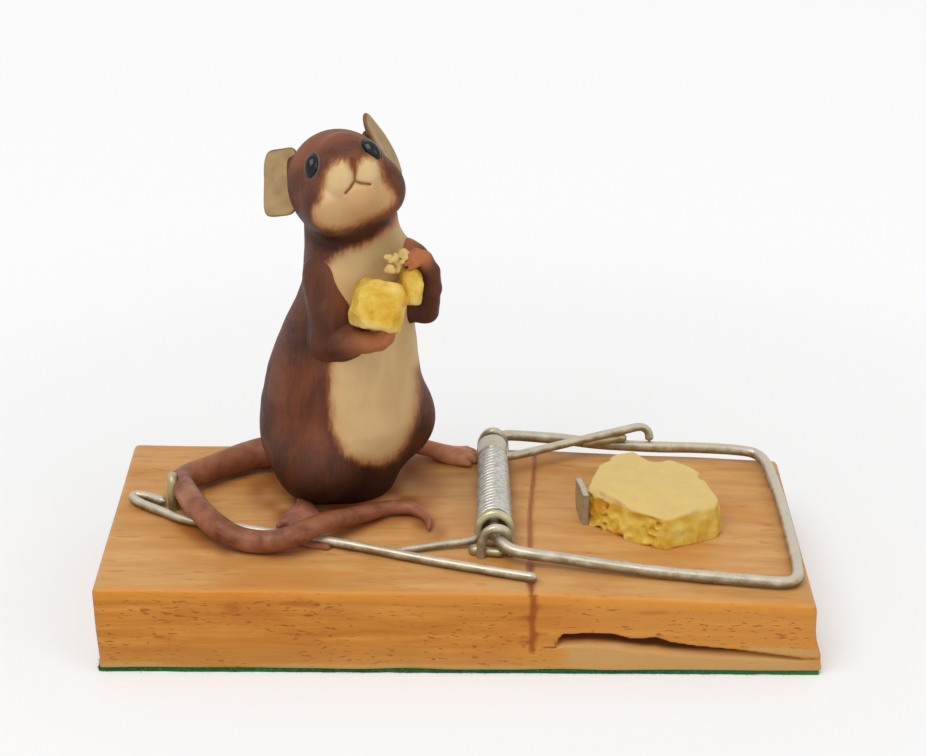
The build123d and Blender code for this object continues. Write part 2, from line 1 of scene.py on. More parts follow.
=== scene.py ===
import bmesh
import bpy
import math
import numpy as np
from mathutils import Matrix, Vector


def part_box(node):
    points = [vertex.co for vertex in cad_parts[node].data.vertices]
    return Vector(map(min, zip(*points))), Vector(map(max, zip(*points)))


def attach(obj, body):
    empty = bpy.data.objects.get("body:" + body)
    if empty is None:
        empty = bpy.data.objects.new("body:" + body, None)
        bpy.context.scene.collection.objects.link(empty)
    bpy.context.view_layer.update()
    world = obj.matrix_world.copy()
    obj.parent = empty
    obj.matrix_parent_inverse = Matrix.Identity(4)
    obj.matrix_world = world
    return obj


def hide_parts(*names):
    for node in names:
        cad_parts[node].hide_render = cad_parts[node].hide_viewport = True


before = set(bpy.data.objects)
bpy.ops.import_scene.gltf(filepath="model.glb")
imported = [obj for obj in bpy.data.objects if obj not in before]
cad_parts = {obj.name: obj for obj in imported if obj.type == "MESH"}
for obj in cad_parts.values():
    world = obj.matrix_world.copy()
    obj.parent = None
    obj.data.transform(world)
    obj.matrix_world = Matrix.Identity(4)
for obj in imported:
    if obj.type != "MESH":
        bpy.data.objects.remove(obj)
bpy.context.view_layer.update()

MM = 0.001


# Camera, floor and light

def unit(v):
    """Direction of length one"""
    v = np.asarray(v, float)
    return v / np.linalg.norm(v)


# Size in pixels, place in millimetres, turns in degrees
PHOTO_WIDE, PHOTO_HIGH = 926, 756
PHOTO_PLACE = (0.2, -294.3, 165.7)
PHOTO_TURNS = (-0.04, 24.08, 0.32)
PHOTO_LENS, SENSOR = 90.04, 36


def photo_axes():
    """Across, upright and backward directions of the photograph's camera"""
    turn, rise, lean = (math.radians(a) for a in PHOTO_TURNS)
    back = np.array([math.sin(turn) * math.cos(rise), -math.cos(turn) * math.cos(rise), math.sin(rise)])
    right = unit(np.cross(-back, (0, 0, 1)))
    up = np.cross(right, -back)
    across = math.cos(lean) * right + math.sin(lean) * up
    upright = -math.sin(lean) * right + math.cos(lean) * up
    return across, upright, back


def in_photo(points):
    """Pixels of the photograph at which points in millimetres are seen"""
    across, upright, back = photo_axes()
    offset = np.asarray(points, float) - PHOTO_PLACE
    scale = PHOTO_LENS / SENSOR * PHOTO_WIDE / -(offset @ back)
    columns = PHOTO_WIDE / 2 + scale * (offset @ across)
    rows = PHOTO_HIGH / 2 - scale * (offset @ upright)
    return np.stack([columns, rows], 1)


def added(name, data):
    """Object with its data, linked to the scene"""
    item = bpy.data.objects.new(name, data)
    bpy.context.scene.collection.objects.link(item)
    return item


def turned_to(item, axes, place):
    """Item moved to a place in metres, with its own axes along these directions"""
    rows = [[*(axis[i] for axis in axes), place[i]] for i in range(3)]
    item.matrix_world = Matrix(rows + [[0, 0, 0, 1]])


def photo_camera():
    """Camera that looks at the board from the front and above"""
    data = bpy.data.cameras.new("front_camera")
    data.sensor_fit = "HORIZONTAL"
    data.sensor_width = SENSOR
    data.lens = PHOTO_LENS
    data.clip_start = 0.01
    data.clip_end = 20
    camera = added("front_camera", data)
    turned_to(camera, photo_axes(), [c * MM for c in PHOTO_PLACE])
    bpy.context.scene.camera = camera


def soft_lamp(name, place, target, size, watts):
    """Square lamp that faces its target"""
    data = bpy.data.lights.new(name, "AREA")
    data.shape = "SQUARE"
    data.size = size
    data.energy = watts
    away = unit(np.array(place) - np.array(target))
    side = unit(np.cross((0, 1, 0), away))
    turned_to(added(name, data), (side, np.cross(away, side), away), place)


# Node helpers

def put(tree, kind, sockets=None, **settings):
    """One node, with its sockets set to values or linked to other nodes' sockets"""
    item = tree.nodes.new(kind)
    for name, value in settings.items():
        setattr(item, name, value)
    for key, value in (sockets or {}).items():
        if isinstance(value, bpy.types.NodeSocket):
            tree.links.new(value, item.inputs[key])
        else:
            item.inputs[key].default_value = value
    return item


def colour_of(red, green, blue):
    """Colour from screen values of 0 to 255"""
    shares = [v / 255 for v in (red, green, blue)]
    return tuple(s / 12.92 if s <= 0.04045 else ((s + 0.055) / 1.055) ** 2.4 for s in shares) + (1,)


def layer_over(tree, amount, under, over):
    """Colour over another one by an amount"""
    return put(tree, "ShaderNodeMix", {0: amount, 6: under, 7: over}, data_type="RGBA").outputs[2]


def clouds(tree, coords, scale, detail=3, rough=0.55, swirl=0):
    """Noise from 0 to 1, finer with a larger scale"""
    sockets = {"Vector": coords, "Scale": scale, "Detail": detail, "Roughness": rough, "Distortion": swirl}
    return put(tree, "ShaderNodeTexNoise", sockets).outputs[0]


def stretched(tree, coords, scale):
    """Coordinates scaled along each axis"""
    return put(tree, "ShaderNodeMapping", {"Vector": coords, "Scale": scale}).outputs[0]


def steps(tree, value, low, high, out_low=0.0, out_high=1.0):
    """Value mapped from one range to another, held at the ends"""
    sockets = {0: value, 1: low, 2: high, 3: out_low, 4: out_high}
    return put(tree, "ShaderNodeMapRange", sockets, interpolation_type="SMOOTHSTEP").outputs[0]


def sums(tree, operation, first, second=0.0):
    """One operation of arithmetic on values"""
    return put(tree, "ShaderNodeMath", {0: first, 1: second}, operation=operation).outputs[0]


def tone(tree, value, stops):
    """Colour that follows a value, from stops of a place and a colour"""
    ramp = put(tree, "ShaderNodeValToRGB", {0: value})
    band = ramp.color_ramp
    while len(band.elements) < len(stops):
        band.elements.new(0.5)
    for element, (place, colour) in zip(band.elements, stops):
        element.position = place
        element.color = colour
    return ramp.outputs[0]


def layer(tree, name):
    """Painted layer of the mesh"""
    return put(tree, "ShaderNodeAttribute", attribute_name=name).outputs["Fac"]


def times(tree, value, *others):
    """Product of values"""
    for other in others:
        value = sums(tree, "MULTIPLY", value, other)
    return value


def shaded(tree, value, *stops):
    """Colour that follows a value, from stops of a place and three screen values"""
    return tone(tree, value, [(place, colour_of(*shade)) for place, *shade in stops])


def washed(tree, colour, value, span, amounts, shade):
    """Colour with a shade over it, by amounts that change as the value crosses its span"""
    return layer_over(tree, steps(tree, value, *span, *amounts), colour, colour_of(*shade))


def painted_over(tree, colour, *rows):
    """Colour with painted layers over it: each one's name, its span, its amount and its shade"""
    for name, span, amount, shade in rows:
        colour = washed(tree, colour, layer(tree, name), span, (0, amount), shade)
    return colour


def both(tree, first, second, share):
    """Two reliefs added up, the first by its share"""
    return sums(tree, "ADD", times(tree, first, share), times(tree, second, 1 - share))


def part_of(tree, vector, axis):
    """One part of a vector"""
    return put(tree, "ShaderNodeSeparateXYZ", {0: vector}).outputs[axis]


def facing_up(tree):
    """How far the surface faces up, from -1 to 1"""
    return part_of(tree, put(tree, "ShaderNodeNewGeometry").outputs["Normal"], "Z")


def new_finish(name):
    """Material without nodes yet, its tree and the coordinates of the object"""
    material = bpy.data.materials.new(name)
    material.use_nodes = True
    tree = material.node_tree
    tree.nodes.clear()
    coords = put(tree, "ShaderNodeTexCoord").outputs["Object"]
    return material, tree, coords


def close_finish(tree, colour, rough, relief, relief_size, strength, **constants):
    """Shader that takes the colour, the roughness and the relief of its finish"""
    bump = put(tree, "ShaderNodeBump", {"Height": relief, "Strength": strength, "Distance": relief_size})
    shader = put(tree, "ShaderNodeBsdfPrincipled", {"Base Color": colour, "Roughness": rough})
    tree.links.new(bump.outputs[0], shader.inputs["Normal"])
    for key, value in constants.items():
        shader.inputs[key.replace("_", " ")].default_value = value
    out = put(tree, "ShaderNodeOutputMaterial")
    tree.links.new(shader.outputs[0], out.inputs["Surface"])
    return shader


# Finishes

def stained_wood():
    """Cast board: cream stained ochre, short dark flecks on the faces and fainter ones on top"""
    material, tree, coords = new_finish("stained_wood")
    upward = steps(tree, facing_up(tree), 0.35, 0.9)
    grain = clouds(tree, stretched(tree, coords, (60, 420, 900)), 1.0, 5, 0.6)
    cloudy = clouds(tree, stretched(tree, coords, (1, 1.6, 1.6)), 55, 3, 0.5)
    top = shaded(tree, grain, (0.3, 190, 134, 72), (0.5, 205, 151, 88), (0.72, 216, 168, 108))
    top = washed(tree, top, cloudy, (0.48, 0.72), (0, 0.7), (194, 126, 52))
    face = shaded(tree, grain, (0.28, 176, 106, 30), (0.5, 190, 122, 42), (0.7, 203, 140, 60))
    face = washed(tree, face, cloudy, (0.5, 0.72), (0, 0.55), (184, 100, 28))
    face = washed(tree, face, part_of(tree, coords, "Z"), (0.0015, 0.006), (0.55, 0.0), (184, 130, 62))
    face = washed(tree, face, part_of(tree, coords, "X"), (0.006, 0.02), (0, 0.5), (208, 144, 66))
    colour = layer_over(tree, upward, face, top)
    patches = steps(tree, clouds(tree, coords, 130, 2, 0.5), 0.36, 0.54)
    flat_face = sums(tree, "SUBTRACT", 1.0, upward)
    for scale, start, amount, shade in (
        ((720, 900, 3000), 0.6, 0.75, (136, 66, 18)),
        ((400, 900, 2300), 0.66, 0.7, (128, 60, 18)),
    ):
        flecks = clouds(tree, stretched(tree, coords, scale), 1.0, 2, 0.5, 0.4)
        marks = times(tree, steps(tree, flecks, start, start + 0.07), patches, flat_face, amount)
        colour = layer_over(tree, marks, colour, colour_of(*shade))
    top_flecks = clouds(tree, stretched(tree, coords, (260, 1300, 1300)), 1.0, 3, 0.55, 0.3)
    top_marks = times(tree, steps(tree, top_flecks, 0.6, 0.72), upward, 0.45)
    colour = layer_over(tree, top_marks, colour, colour_of(158, 92, 44))
    # Painted highlight on the front top edge, bare resin in the split, stains with painted contact shadows,
    # and painted shade in the split
    colour = painted_over(
        tree, colour,
        ("painted_edge_highlight", (0.1, 0.9), 0.6, (212, 138, 46)),
        ("bare", (0.1, 0.9), 0.78, (192, 152, 94)),
        ("stain_and_shadow", (0.1, 1.0), 0.85, (142, 62, 16)),
        ("shade", (0.1, 1.0), 0.9, (88, 44, 16)),
    )
    rough = steps(tree, grain, 0.3, 0.7, 0.4, 0.58)
    relief = both(tree, grain, top_flecks, 0.5)
    close_finish(tree, colour, rough, relief, 0.00022, 0.3, Specular_IOR_Level=0.22)
    return material


def green_felt():
    """Felt with a matted nap"""
    material, tree, coords = new_finish("green_felt")
    nap = clouds(tree, coords, 2600, 4, 0.7)
    patches = clouds(tree, coords, 260, 3, 0.5)
    colour = shaded(tree, nap, (0.3, 24, 74, 40), (0.55, 40, 108, 60), (0.8, 84, 158, 98))
    colour = washed(tree, colour, patches, (0.4, 0.7), (0, 0.5), (30, 88, 48))
    colour = washed(tree, colour, part_of(tree, coords, "X"), (0.02, 0.05), (0, 0.45), (58, 140, 78))
    rough = steps(tree, nap, 0.2, 0.8, 0.8, 1.0)
    close_finish(tree, colour, rough, nap, 0.0003, 0.8, Sheen_Weight=0.15, Specular_IOR_Level=0.1)
    return material


def silver_paint(name, base, glint, dull):
    """Silver paint brushed over cast wire, with a painted highlight where it faces up and painted shade in
    darker khaki where a side turns down
    """
    material, tree, coords = new_finish(name)
    brushed = clouds(tree, coords, 520, 4, 0.6)
    worn = clouds(tree, coords, 170, 3, 0.55)
    fine = clouds(tree, coords, 1500, 3, 0.6)
    rise = facing_up(tree)
    colour = shaded(tree, brushed, (0.24, *dull), (0.5, *base), (0.78, *glint))
    # Painted highlight on the upward side, painted shade on the downward side
    colour = washed(tree, colour, rise, (0.3, 0.85), (0, 0.75), glint)
    colour = washed(tree, colour, rise, (-0.35, 0.25), (0.7, 0), dull)
    colour = washed(tree, colour, worn, (0.56, 0.75), (0, 0.35), dull)
    for painted, amount, shade in (("tint", 0.7, (190, 182, 140)), ("inside", 0.8, (140, 84, 54))):
        colour = layer_over(tree, times(tree, layer(tree, painted), amount), colour, colour_of(*shade))
    rough = steps(tree, brushed, 0.3, 0.7, 0.24, 0.42)
    close_finish(tree, colour, rough, fine, 0.00008, 0.3, Metallic=0.35, Specular_IOR_Level=0.7)
    return material


def wound_silver(axis_x, axis_z, ridge):
    """Silver paint on the turns, with darker khaki between them: bare resin there, darkened further as
    painted shade in the grooves
    """
    material, tree, coords = new_finish("wound_silver")
    side = sums(tree, "SUBTRACT", part_of(tree, coords, "X"), axis_x)
    rise = sums(tree, "SUBTRACT", part_of(tree, coords, "Z"), axis_z)
    out = sums(tree, "SQRT", sums(tree, "ADD", times(tree, side, side), times(tree, rise, rise)))
    narrow = steps(tree, part_of(tree, coords, "Y"), -0.007, 0.013, 0.0, ridge * SPRING_NARROWS)
    out = sums(tree, "ADD", out, narrow)
    brushed = clouds(tree, coords, 1200, 3, 0.6)
    colour = shaded(tree, brushed, (0.3, 168, 164, 152), (0.55, 190, 187, 178), (0.75, 210, 208, 202))
    # Darker between the turns: khaki resin, with painted shade in the grooves
    colour = washed(tree, colour, out, (ridge - 0.0005, ridge - 0.00014), (1.0, 0.0), (72, 64, 46))
    rough = steps(tree, brushed, 0.3, 0.7, 0.22, 0.38)
    close_finish(tree, colour, rough, brushed, 0.0001, 0.3, Metallic=0.4, Specular_IOR_Level=0.7)
    return material


def painted_fur():
    """Fur painted in soft shades: chestnut and dark brown, cream on the chest, throat and muzzle"""
    material, tree, coords = new_finish("painted_fur")
    streaks = clouds(tree, stretched(tree, coords, (1900, 1900, 420)), 1.0, 4, 0.6, 0.3)
    patches = clouds(tree, stretched(tree, coords, (1, 1, 0.6)), 170, 3, 0.5, 0.5)
    shades = clouds(tree, stretched(tree, coords, (1, 1, 0.5)), 95, 2, 0.5, 0.3)
    fine = clouds(tree, coords, 2200, 3, 0.6)
    colour = shaded(tree, patches, (0.3, 60, 32, 22), (0.5, 84, 46, 30), (0.7, 108, 58, 34))
    colour = washed(tree, colour, shades, (0.5, 0.72), (0, 0.6), (80, 54, 48))
    colour = washed(tree, colour, streaks, (0.5, 0.74), (0, 0.3), (124, 74, 48))
    colour = washed(tree, colour, streaks, (0.3, 0.48), (0.35, 0), (58, 32, 26))
    colour = painted_over(
        tree, colour,
        ("warm", (0, 1), 0.8, (132, 80, 54)),
        # On the body, the dark layer holds painted shade at the bottom and in the neck crease
        ("dark", (0, 1), 0.9, (46, 18, 8)),
    )
    wobble = times(tree, sums(tree, "SUBTRACT", streaks, 0.5), 1.3)
    edge = sums(tree, "ADD", layer(tree, "cream"), wobble)
    pale = shaded(tree, patches, (0.3, 196, 163, 114), (0.55, 207, 176, 127), (0.75, 215, 186, 139))
    colour = washed(tree, colour, edge, (-0.8, 0.3), (0, 1), (150, 92, 50))
    colour = layer_over(tree, steps(tree, edge, -0.25, 0.9), colour, pale)
    colour = painted_over(
        tree, colour,
        ("tan", (0, 1), 0.55, (176, 122, 74)),
        ("line", (0.15, 0.85), 0.85, (134, 78, 38)),
        ("flesh", (0, 1), 0.8, (192, 118, 74)),
        ("rim", (0.3, 0.8), 0.6, (92, 84, 78)),
    )
    rough = steps(tree, fine, 0.3, 0.7, 0.5, 0.64)
    close_finish(tree, colour, rough, both(tree, streaks, fine, 0.8), 0.00014, 0.25, Specular_IOR_Level=0.2)
    return material


def ear_paint():
    """Olive tan on the ear's face, brown on its rim and root"""
    material, tree, coords = new_finish("ear_paint")
    patches = clouds(tree, coords, 420, 3, 0.6)
    tan = shaded(tree, patches, (0.3, 148, 120, 80), (0.55, 163, 135, 91), (0.75, 174, 148, 104))
    brown = shaded(tree, patches, (0.35, 104, 70, 46), (0.65, 134, 96, 64))
    colour = layer_over(tree, steps(tree, layer(tree, "rim"), 0.2, 0.8), tan, brown)
    relief = clouds(tree, coords, 900, 3, 0.6)
    rough = steps(tree, relief, 0.3, 0.7, 0.42, 0.55)
    close_finish(tree, colour, rough, relief, 0.00012, 0.3, Specular_IOR_Level=0.25)
    return material


def bare_skin(name, shades):
    """Pinkish brown of the tail and the feet, from its darkest shade to its lightest"""
    material, tree, coords = new_finish(name)
    patches = clouds(tree, coords, 210, 4, 0.6, 0.4)
    fine = clouds(tree, coords, 1500, 3, 0.6)
    stops = [(place, *shade) for place, shade in zip((0.3, 0.48, 0.62, 0.78), shades)]
    colour = shaded(tree, patches, *stops)
    colour = washed(tree, colour, fine, (0.5, 0.75), (0, 0.3), shades[0])
    rough = steps(tree, fine, 0.3, 0.7, 0.36, 0.5)
    close_finish(tree, colour, rough, fine, 0.00012, 0.4, Specular_IOR_Level=0.25)
    return material


def yellow_cheese():
    """Cheese: pale rind on top, crumbly deep yellow below"""
    material, tree, coords = new_finish("yellow_cheese")
    patches = clouds(tree, coords, 330, 4, 0.6, 0.3)
    fine = clouds(tree, coords, 1300, 4, 0.65)
    colour = shaded(
        tree, patches, (0.28, 200, 146, 34), (0.45, 212, 172, 62), (0.62, 222, 192, 94), (0.8, 226, 206, 130),
    )
    colour = painted_over(
        tree, colour,
        ("rind", (0.2, 0.9), 0.8, (218, 190, 126)),
        ("deep", (0.1, 1.0), 0.75, (206, 140, 22)),
    )
    rough = steps(tree, fine, 0.3, 0.7, 0.4, 0.6)
    close_finish(
        tree, colour, rough, both(tree, patches, fine, 0.5), 0.0003, 0.45,
        Subsurface_Weight=0.12, Subsurface_Scale=0.002, Specular_IOR_Level=0.2,
    )
    return material


def glossy_eye():
    """Black bead of an eye with a faint grey painted sheen"""
    material, tree, coords = new_finish("glossy_eye")
    sheen_noise = clouds(tree, coords, 500, 2, 0.5)
    # Painted sheen: faint grey patches over the black
    colour = shaded(tree, sheen_noise, (0.4, 6, 6, 8), (0.75, 26, 32, 38))
    rough = steps(tree, sheen_noise, 0.3, 0.7, 0.07, 0.16)
    close_finish(tree, colour, rough, sheen_noise, 0.00005, 0.2, Specular_IOR_Level=0.3)
    return material


# Mesh helpers

def mesh_object(name, points, faces, finish, layers=None):
    """Object from points in millimetres and faces, with its painted layers"""
    mesh = bpy.data.meshes.new(name)
    points = np.asarray(points, np.float64) * MM
    faces = np.asarray(faces, np.int32)
    mesh.vertices.add(len(points))
    mesh.vertices.foreach_set("co", points.ravel())
    sides = faces.shape[1]
    mesh.loops.add(faces.size)
    mesh.loops.foreach_set("vertex_index", faces.ravel())
    mesh.polygons.add(len(faces))
    mesh.polygons.foreach_set("loop_start", np.arange(0, faces.size, sides, dtype=np.int32))
    mesh.polygons.foreach_set("use_smooth", np.ones(len(faces), bool))
    mesh.update(calc_edges=True)
    mesh.validate()
    for key, values in (layers or {}).items():
        attribute = mesh.attributes.new(key, "FLOAT", "POINT")
        attribute.data.foreach_set("value", np.asarray(values, np.float32))
    mesh.materials.append(finish)
    return added(name, mesh)


def lumps(points, size, seed):
    """Smooth random relief of about the given size, from -1 to 1"""
    lattice = np.random.default_rng(seed).uniform(-1, 1, (32, 32, 32)).astype(np.float32)
    place = np.asarray(points, np.float32) / size
    cell = np.floor(place).astype(int)
    part = place - cell
    part = part * part * (3 - 2 * part)
    total = np.zeros(len(place), np.float32)
    for corner in np.ndindex(2, 2, 2):
        weight = np.ones(len(place), np.float32)
        for axis in range(3):
            weight *= part[:, axis] if corner[axis] else 1 - part[:, axis]
        index = (cell + np.array(corner)) % 32
        total += weight * lattice[index[:, 0], index[:, 1], index[:, 2]]
    return total


def ease(value, low, high):
    """Smooth step from 0 at low to 1 at high"""
    t = np.clip((value - low) / (high - low), 0, 1)
    return t * t * (3 - 2 * t)


# Sculpted forms: each gives the distance of points from its surface, negative inside
def egg(points, centre, radii, axes=None):
    """Ellipsoid, along its own axes where they are given"""
    local = points - np.asarray(centre, np.float32)
    if axes is not None:
        local = local @ np.asarray(axes, np.float32).T
    radii = np.asarray(radii, np.float32)
    near = np.linalg.norm(local / radii, axis=1)
    far = np.linalg.norm(local / radii**2, axis=1)
    return near * (near - 1) / np.maximum(far, 1e-6)


def taper(points, start, end, start_radius, end_radius):
    """Rod between two places, with a radius at each"""
    start, end = np.asarray(start, np.float32), np.asarray(end, np.float32)
    run = end - start
    share = np.clip(((points - start) @ run) / (run @ run), 0, 1)
    gap = np.linalg.norm(points - start - share[:, None] * run, axis=1)
    return gap - (start_radius + share * (end_radius - start_radius))


def limb(points, places, radii, soft=0.25):
    """Run of tapers through places, joined softly"""
    form = None
    for (a, b), (r, s) in zip(zip(places, places[1:]), zip(radii, radii[1:])):
        piece = taper(points, a, b, r, s)
        form = piece if form is None else joined(form, piece, soft)
    return form


def joined(first, second, soft):
    """Two forms as one, with a soft seam"""
    mix = np.maximum(soft - np.abs(first - second), 0) / soft
    return np.minimum(first, second) - mix * mix * soft / 4


def carved(form, tool, soft):
    """Form with a tool cut out of it"""
    mix = np.maximum(soft - np.abs(form + tool), 0) / soft
    return np.maximum(form, -tool) + mix * mix * soft / 4


def kept(form, limit, soft):
    """Part of the form inside the limit"""
    return carved(form, -limit, soft)


def block(points, centre, axes, half, soft):
    """Box with rounded edges"""
    local = np.abs((points - centre) @ np.asarray(axes, np.float32).T) - (np.asarray(half, np.float32) - soft)
    outside = np.linalg.norm(np.maximum(local, 0), axis=1)
    return outside + np.minimum(local.max(1), 0) - soft


def skin_of(form, low, high, grain):
    """Closed skin of quads round a form, from its distances on a grid"""
    coarse = 4
    low = np.asarray(low, np.float32)
    cells = np.ceil((np.asarray(high, np.float32) - low) / (grain * coarse)).astype(int)

    def grid(counts, step, mask=None):
        lines = [low[a] + step * np.arange(counts[a] + 1, dtype=np.float32) for a in range(3)]
        if mask is None:
            return np.stack(np.meshgrid(*lines, indexing="ij"), -1).reshape(-1, 3)
        index = np.argwhere(mask)
        return np.stack([lines[a][index[:, a]] for a in range(3)], -1)

    rough = form(grid(cells, grain * coarse)).reshape(cells + 1)
    near_reach = grain * coarse * 1.9
    near = np.zeros(cells, bool)
    for i, j, k in np.ndindex(2, 2, 2):
        corner = rough[i:i + cells[0], j:j + cells[1], k:k + cells[2]]
        near |= np.abs(corner) < near_reach
    fine = cells * coarse
    mask = np.zeros(fine + 1, bool)
    near_cells = near.repeat(coarse, 0).repeat(coarse, 1).repeat(coarse, 2)
    for i, j, k in np.ndindex(2, 2, 2):
        mask[i:i + fine[0], j:j + fine[1], k:k + fine[2]] |= near_cells
    values = rough.repeat(coarse, 0).repeat(coarse, 1).repeat(coarse, 2)
    values = values[:fine[0] + 1, :fine[1] + 1, :fine[2] + 1].copy()
    values[mask] = form(grid(fine, grain, mask))

    count = int(np.prod(fine))
    total = np.zeros((3, count))
    hits = np.zeros(count)
    quads = []
    for axis in range(3):
        first = [slice(None)] * 3
        second = [slice(None)] * 3
        first[axis] = slice(None, -1)
        second[axis] = slice(1, None)
        g0, g1 = values[tuple(first)], values[tuple(second)]
        crossing = (g0 < 0) != (g1 < 0)
        index = np.argwhere(crossing)
        a, b = g0[crossing], g1[crossing]
        spot = index.astype(np.float64)
        spot[:, axis] += a / (a - b)
        u, v = (axis + 1) % 3, (axis + 2) % 3
        inner = np.ones(len(index), bool)
        for side in (u, v):
            inner &= (index[:, side] > 0) & (index[:, side] < fine[side])
        index, spot, outward = index[inner], spot[inner], (a < 0)[inner]
        ring = []
        for du, dv in ((-1, -1), (0, -1), (0, 0), (-1, 0)):
            cell = index.copy()
            cell[:, u] += du
            cell[:, v] += dv
            flat = np.ravel_multi_index(cell.T, fine)
            ring.append(flat)
            hits += np.bincount(flat, minlength=count)
            for k in range(3):
                total[k] += np.bincount(flat, weights=spot[:, k], minlength=count)
        ring = np.stack(ring, 1)
        ring[~outward] = ring[~outward][:, ::-1]
        quads.append(ring)
    quads = np.concatenate(quads)
    used = np.flatnonzero(hits)
    renumber = np.full(count, -1)
    renumber[used] = np.arange(len(used))
    points = (total[:, used] / hits[used]).T * grain + low
    return points, renumber[quads]


def sculpted(name, form, low, high, grain, finish, layers=None):
    """Piece sculpted as one form, with painted layers worked out on its points"""
    points, quads = skin_of(form, low, high, grain)
    painted = layers(points) if layers else None
    return mesh_object(name, points, quads, finish, painted)


# Geometry Nodes: what follows a route, and what is scattered on a surface

def group_of(name, inputs):
    """Empty group of geometry nodes, and its inputs"""
    tree = bpy.data.node_groups.new(name, "GeometryNodeTree")
    for label, kind in inputs:
        tree.interface.new_socket(label, in_out="INPUT", socket_type=kind)
    tree.interface.new_socket("Result", in_out="OUTPUT", socket_type="NodeSocketGeometry")
    return tree, tree.nodes.new("NodeGroupInput").outputs


def close_group(tree, geometry, finish):
    """End of a group: real geometry that wears its finish"""
    whole = put(tree, "GeometryNodeRealizeInstances", {0: geometry}).outputs[0]
    painted = put(tree, "GeometryNodeSetMaterial", {0: whole, "Material": finish}).outputs[0]
    out = tree.nodes.new("NodeGroupOutput")
    tree.links.new(painted, out.inputs[0])


def round_along_route():
    """Round section swept along a route; the route's own radius thins or swells it"""
    tree, given = group_of("round_along_route", (
        ("Route", "NodeSocketGeometry"),
        ("Thickness", "NodeSocketFloat"),
        ("Sides", "NodeSocketInt"),
        ("Finish", "NodeSocketMaterial"),
    ))
    half = put(tree, "ShaderNodeMath", {0: given["Thickness"], 1: 0.5}, operation="MULTIPLY").outputs[0]
    ring = put(tree, "GeometryNodeCurvePrimitiveCircle", {"Resolution": given["Sides"], "Radius": half})
    swell = put(tree, "GeometryNodeInputRadius").outputs[0]
    tube = put(tree, "GeometryNodeCurveToMesh", {
        "Curve": given["Route"], "Profile Curve": ring.outputs["Curve"], "Scale": swell, "Fill Caps": True,
    }).outputs[0]
    soft = put(tree, "GeometryNodeSetShadeSmooth", {0: tube}).outputs[0]
    close_group(tree, soft, given["Finish"])
    return tree


def scattered_on_surface():
    """Copies of one small shape scattered on a surface, each turned and sized at random"""
    tree, given = group_of("scattered_on_surface", (
        ("Surface", "NodeSocketGeometry"),
        ("Shape", "NodeSocketObject"),
        ("Density", "NodeSocketFloat"),
        ("Smallest", "NodeSocketFloat"),
        ("Largest", "NodeSocketFloat"),
        ("Tilt", "NodeSocketFloat"),
        ("Seed", "NodeSocketInt"),
        ("Finish", "NodeSocketMaterial"),
    ))
    spots = put(tree, "GeometryNodeDistributePointsOnFaces", {
        "Mesh": given["Surface"], "Density": given["Density"], "Seed": given["Seed"],
    })
    shape = put(tree, "GeometryNodeObjectInfo", {"Object": given["Shape"]}).outputs["Geometry"]
    opposite = put(tree, "ShaderNodeMath", {0: given["Tilt"], 1: -1.0}, operation="MULTIPLY").outputs[0]
    half_turn = 3.14
    least = put(tree, "ShaderNodeCombineXYZ", {0: opposite, 1: opposite, 2: -half_turn}).outputs[0]
    most = put(tree, "ShaderNodeCombineXYZ", {0: given["Tilt"], 1: given["Tilt"], 2: half_turn}).outputs[0]
    lean = put(tree, "FunctionNodeRandomValue", {
        0: least, 1: most, "Seed": given["Seed"],
    }, data_type="FLOAT_VECTOR")
    turned = put(tree, "FunctionNodeRotateRotation", {
        "Rotation": spots.outputs["Rotation"], "Rotate By": lean.outputs[0],
    }, rotation_space="LOCAL").outputs[0]
    size = put(tree, "FunctionNodeRandomValue", {
        2: given["Smallest"], 3: given["Largest"], "Seed": given["Seed"],
    }, data_type="FLOAT").outputs[1]
    copies = put(tree, "GeometryNodeInstanceOnPoints", {
        "Points": spots.outputs["Points"], "Instance": shape, "Rotation": turned, "Scale": size,
    }).outputs[0]
    close_group(tree, copies, given["Finish"])
    return tree


def grown(name, source, tree, values):
    """Plain mesh from a source object and a tree with its inputs set"""
    modifier = source.modifiers.new("grown", "NODES")
    modifier.node_group = tree
    for item in tree.interface.items_tree:
        if item.in_out == "INPUT" and item.name in values:
            modifier[item.identifier] = values[item.name]
    source.update_tag()
    bpy.context.view_layer.update()
    graph = bpy.context.evaluated_depsgraph_get()
    mesh = bpy.data.meshes.new_from_object(source.evaluated_get(graph), depsgraph=graph)
    mesh.name = name
    source.modifiers.remove(modifier)
    return added(name, mesh)


def swept(name, points, radii, thickness, sides, finish):
    """Wire or tail along points in millimetres, with a radius share at each point"""
    data = bpy.data.curves.new(name + "_route", "CURVE")
    data.dimensions = "3D"
    spline = data.splines.new("POLY")
    spline.points.add(len(points) - 1)
    for spot, place, radius in zip(spline.points, points, radii):
        spot.co = (*(c * MM for c in place), 1)
        spot.radius = radius
    route = added(name + "_route", data)
    piece = grown(name, route, follow_route, {"Thickness": thickness * MM, "Sides": sides, "Finish": finish})
    bpy.data.objects.remove(route)
    return piece


def flowing(places, count):
    """Even smooth run of points through places; the last columns may hold radii"""
    places = np.asarray(places, float)
    padded = np.vstack([2 * places[0] - places[1], places, 2 * places[-1] - places[-2]])
    out = []
    for i in range(1, len(padded) - 2):
        before, start, end, after = padded[i - 1:i + 3]
        for t in np.linspace(0, 1, count, endpoint=False):
            out.append(0.5 * (
                2 * start + (end - before) * t
                + (2 * before - 5 * start + 4 * end - after) * t**2
                + (3 * start - before - 3 * end + after) * t**3
            ))
    out.append(places[-1])
    return np.array(out)


def lengths_along(points):
    """Distance along a run to each of its points"""
    gaps = np.linalg.norm(np.diff(points[:, :3], axis=0), axis=1)
    return np.concatenate([[0], np.cumsum(gaps)])


